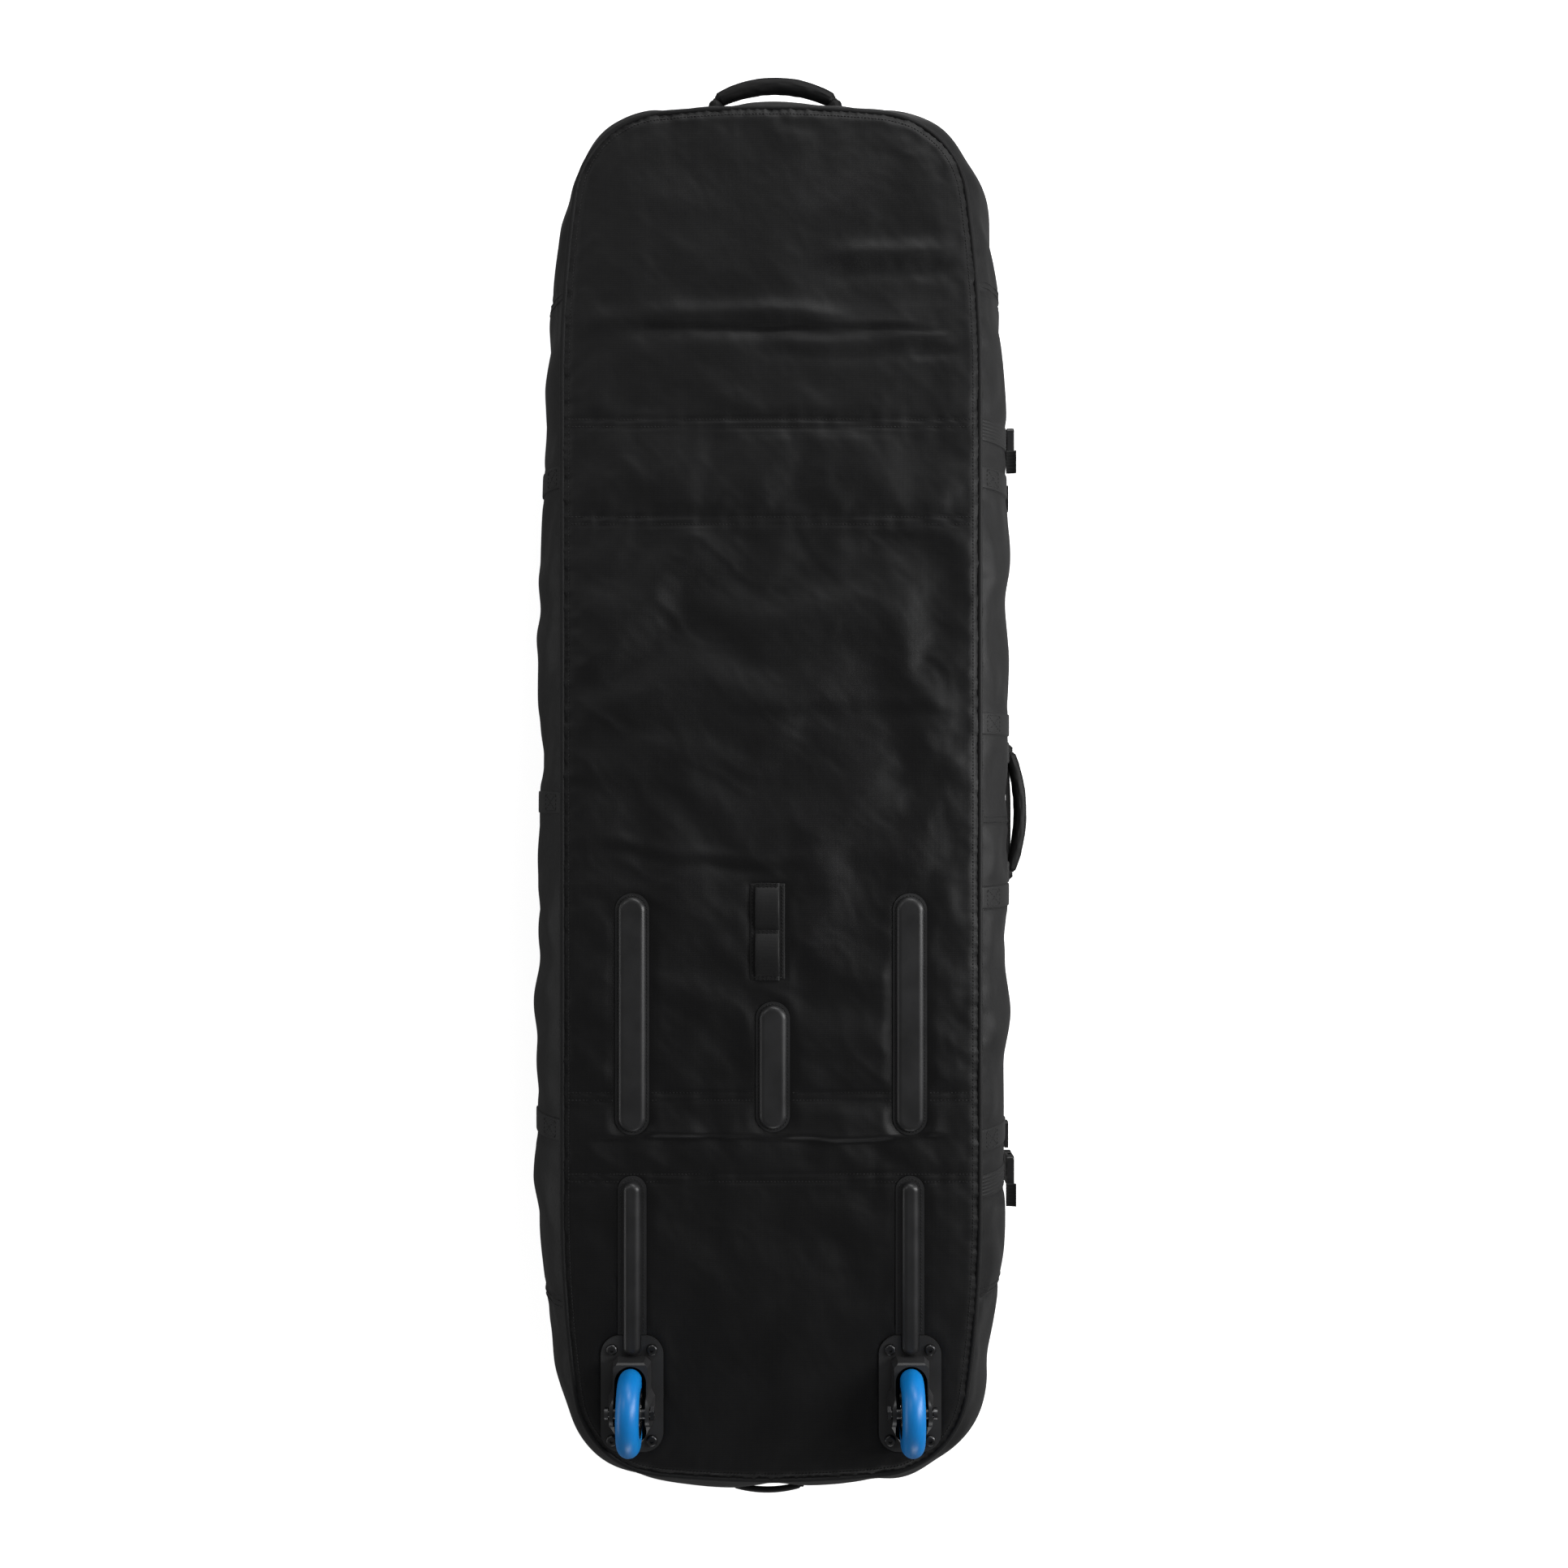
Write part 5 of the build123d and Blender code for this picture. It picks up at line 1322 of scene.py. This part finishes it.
def storage_loops():
    """Sewn patch and the webbing that stands up in two loops."""
    centre, low_y, high_y, width = LOOP_PATCH
    x = centre + np.linspace(-width / 2, width / 2, 40)
    y = np.linspace(low_y, high_y, 90)

    def lifted(a, b, lift):
        return np.stack([a, b, PANEL_Z + lift], -1)

    grid = slab(lifted, x, y, PATCH_THICKNESS)
    patch = grids_piece("loop_patch", [(grid, two_way(x, y)[2], False)], TAPE)
    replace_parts(patch, "storage_patch")
    tack = 5 * MM
    hump = (high_y - low_y - 3 * tack) / 2
    path_y = np.linspace(low_y, high_y, 160)
    inside = np.mod(path_y - low_y, hump + tack)
    share = np.clip((inside - tack) / hump, 0, 1)
    rise = 6.2 * MM * np.sin(pi * share) ** 0.8
    path = np.stack([np.full(160, centre), path_y, PANEL_Z + PATCH_THICKNESS + rise], -1)
    across = held([1.0, 0.0, 0.0], 160)
    normal = np.cross(across, headings(path))
    section = ribbon_section(26 * MM, 1.6 * MM)
    loops = swept_piece("loop_webbing", [(path, across, normal, section)], WEBBING)
    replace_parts(loops, "storage_loops")
    middles = (low_y + tack / 2, low_y + 1.5 * tack + hump, high_y - tack / 2)
    runs = stitched_bars(centre, middles, PANEL_Z + PATCH_THICKNESS + 1.7 * MM)
    z = PANEL_Z + 1.4 * MM
    x0, x1 = centre - width / 2 + 3 * MM, centre + width / 2 - 3 * MM
    y0, y1 = low_y + 3 * MM, high_y - 3 * MM
    square = [(x0, y0, z), (x1, y0, z), (x1, y1, z), (x0, y1, z), (x0, y0, z)]
    runs += [(line_between(start, end), UP) for start, end in zip(square, square[1:])]
    stitch_piece("loop_stitches", runs)


def panel_stitches():
    """Double rows across the back panel and a row inside the piping."""
    runs = []
    for seam in SEAMS_Y:
        for side in (-1, 1):
            y = seam + side * SEAM_PAIR_GAP / 2
            x = np.arange(-HALF_WIDTH + 6 * MM, HALF_WIDTH - 6 * MM, 2 * MM)
            row = np.stack([x, np.full(len(x), y)], -1)
            keep = hard_distance(row[:, 0], row[:, 1]) > 0.5 * MM
            for part in np.split(row, np.flatnonzero(np.diff(keep.astype(int))) + 1):
                if len(part) > 2 and hard_distance(part[:1, 0], part[:1, 1])[0] > 0.5 * MM:
                    runs.append(on_panel(part, 0.3 * MM))
    point, out = ring_at(np.arange(0, RING_LENGTH, 3 * MM))
    runs.append(on_panel(point - out * 7.5 * MM, 0.2 * MM))
    stitch_piece("panel_stitches", runs)


def stadium_line(centre_x, low, high, width, inset):
    """A closed round-ended line inside a strip that runs along Y."""
    radius = width / 2 - inset
    angle = np.linspace(0, pi, 24)
    top = np.stack([centre_x + radius * np.cos(angle), high - width / 2 + radius * np.sin(angle)], -1)
    bottom = np.stack([centre_x - radius * np.cos(angle), low + width / 2 - radius * np.sin(angle)], -1)
    closed = np.concatenate([top, bottom, top[:1]])
    steps = along(closed)
    where = np.arange(0, steps[-1], 2 * MM)
    return between(where, steps, closed)


# Where the wheel plates begin to cover the kick rails.
RAIL_PLATE_Y = -0.582


def pad_stitches():
    """Rows of stitches through the flanges of the skid pads and kick rails."""
    flange = PANEL_Z + 1.5 * MM
    lines = [stadium_line(*pad, 2.6 * MM) for pad in PADS]
    for centre, _, high, width in RAILS:
        line = stadium_line(centre, RAIL_PLATE_Y - 0.5 * MM - width / 2, high, width, 3.2 * MM)
        line = line[line[:, 1] > RAIL_PLATE_Y]
        turn = np.argmax(np.linalg.norm(np.diff(line, axis=0), axis=1)) + 1
        lines.append(np.roll(line, -turn, axis=0))
    runs = [(raised(line, flange), UP) for line in lines]
    stitch_piece("pad_stitches", runs)


def gusset_stitches():
    """Double rows beside every gusset seam, and rows along both piped edges."""
    runs = []
    z = np.arange(GUSSET_LOW + 4 * MM, GUSSET_HIGH - 3 * MM, 2 * MM)
    for station in (*SEAM_STATIONS, RIGHT_JOIN_S):
        for shift in (4 * MM, 10 * MM):
            runs.append(on_gusset(np.stack([np.full(len(z), station + shift), z], -1), 0.3 * MM))
    top = np.arange(0.160, GUSSET_HIGH - 3 * MM, 2 * MM)
    for y in (0.066, 0.078, -0.100, -0.126):
        runs.append(on_gusset(np.stack([np.full(len(top), y), top], -1), 0.3 * MM))
    s = np.arange(0, RING_LENGTH, 3 * MM)
    for height in (GUSSET_HIGH - 3.5 * MM, GUSSET_LOW + 4 * MM):
        runs.append(on_gusset(np.stack([s, np.full(len(s), height)], -1), 0.3 * MM))
    stitch_piece("gusset_stitches", runs)


# ---------------------------------------------------------------- hard parts
NODE_LOOKS = {
    "skid_pad_": PAD,
    "kick_rail_": PAD,
    "wheel_housing_": HOUSING,
    "housing_screws": SCREW,
    "housing_nuts": STEEL,
    "backing_plates": SHEET,
    "base_sheet": SHEET,
    "axle_spacers": STEEL,
    "axle_": SCREW,
    "bearing_": STEEL,
    "wheel_tyre_": BLUE,
    "wheel_core_": CORE,
    "zip_slider_": ZINC,
    "zip_puller_": ZINC,
    "buckle_": BUCKLE,
    "tab_sliders": BUCKLE,
    "tie_down_buckles": BUCKLE,
}


def paint_hard_parts():
    """Gives each hard CAD node its material."""
    for name, part in frame["nodes"].items():
        for start, material in NODE_LOOKS.items():
            if name.startswith(start):
                part.data.materials.clear()
                part.data.materials.append(material)


# ---------------------------------------------------------------- floor and light
def camera_or_not(tree, seen, thrown, output):
    """Shows one shader to the camera and another to every other ray."""
    ray = node(tree, "ShaderNodeLightPath")
    choose = node(tree, "ShaderNodeMixShader")
    tree.links.new(ray.outputs["Is Camera Ray"], choose.inputs["Fac"])
    tree.links.new(thrown, choose.inputs[1])
    tree.links.new(seen, choose.inputs[2])
    tree.links.new(choose.outputs["Shader"], tree.nodes[output].inputs["Surface"])


def floor_material():
    """Bright floor where the camera sees it, and a dim one for the light it throws back."""
    material, tree, shader = new_material("floor")
    speckle = stretched_noise(tree, 60.0)
    tree.links.new(ramp(tree, speckle.outputs["Fac"], (0.90,) * 3, (0.92,) * 3), shader.inputs["Base Color"])
    dial(shader, Roughness=0.9, Emission_Color=(1, 1, 1, 1), Emission_Strength=0.78)
    dim = node(tree, "ShaderNodeBsdfDiffuse", Color=(FLOOR_BOUNCE, FLOOR_BOUNCE, FLOOR_BOUNCE, 1))
    camera_or_not(tree, shader.outputs["BSDF"], dim.outputs["BSDF"], "Material Output")
    return material


def studio_world():
    """White backdrop for the camera and a dim room for everything else."""
    world = bpy.data.worlds.new("studio")
    world.use_nodes = True
    tree = world.node_tree
    room = tree.nodes["Background"]
    dial(room, Color=(1, 1, 1, 1), Strength=WORLD_LIGHT)
    backdrop = node(tree, "ShaderNodeBackground", Color=(1, 1, 1, 1))
    camera_or_not(tree, backdrop.outputs["Background"], room.outputs["Background"], "World Output")
    bpy.context.scene.world = world


def stage():
    """Plain pale floor and backdrop with soft light, most of it from the right."""
    mesh = bpy.data.meshes.new("floor")
    mesh.from_pydata([(-6, -6, 0), (6, -6, 0), (6, 6, 0), (-6, 6, 0)], [], [(0, 1, 2, 3)])
    floor = bpy.data.objects.new("floor", mesh)
    mesh.materials.append(floor_material())
    bpy.context.collection.objects.link(floor)
    studio_world()
    for name, place, size, power in LAMPS:
        lamp = bpy.data.lights.new(name, "AREA")
        lamp.shape = "RECTANGLE"
        lamp.size, lamp.size_y = size
        lamp.energy = power
        holder = bpy.data.objects.new(name, lamp)
        holder.location = place
        aim = -holder.location.copy()
        holder.rotation_mode = "QUATERNION"
        holder.rotation_quaternion = aim.to_track_quat("-Z", "Y")
        bpy.context.collection.objects.link(holder)


WORLD_LIGHT = 0.16
FLOOR_BOUNCE = 0.22
LAMPS = (
    ("key", (2.4, 0.2, 1.25), (0.7, 2.6), 74.0),
    ("fill", (-1.8, 1.4, 2.2), (0.8, 0.8), 9.0),
    ("top", (0.9, 2.5, 1.6), (1.6, 0.5), 34.0),
    ("left", (-2.8, -0.4, 0.45), (3.0, 0.6), 16.0),
    ("foot", (0.3, -3.2, 0.5), (1.6, 0.5), 13.0),
    ("head", (-0.2, 3.2, 0.5), (1.6, 0.6), 12.0),
)

back_panel()
gusset_shell()
piping_ring("back_piping_cord", BACK_SEAM_Z, "bag", "back_piping")
piping_ring("lid_piping_cord", LID_SEAM_Z, "lid", "lid_piping")
lid_shell()
tape_piece("gusset_zip_tape", *ZIP_SPAN, TAPE_LOW, TAPE_TUCK, "bag", "zip_tape_gusset")
tape_piece("lid_zip_tape", *ZIP_SPAN, LID_TAPE_LOW, TAPE_HIGH, "lid", "zip_tape_lid")
tape_piece("hinge_web", *HINGE_SPAN, HINGE_LOW, TAPE_TUCK, "bag", "lid_hinge_web")
zip_teeth("gusset_teeth", TAPE_LOW + 1.3 * MM, "bag")
zip_teeth("lid_teeth", TAPE_HIGH - 1.3 * MM, "lid")
hinge_strip()
gusset_webbing()
strap_tails()
side_strap()
tie_downs()
handles()
storage_loops()
panel_stitches()
pad_stitches()
gusset_stitches()
paint_hard_parts()
stage()
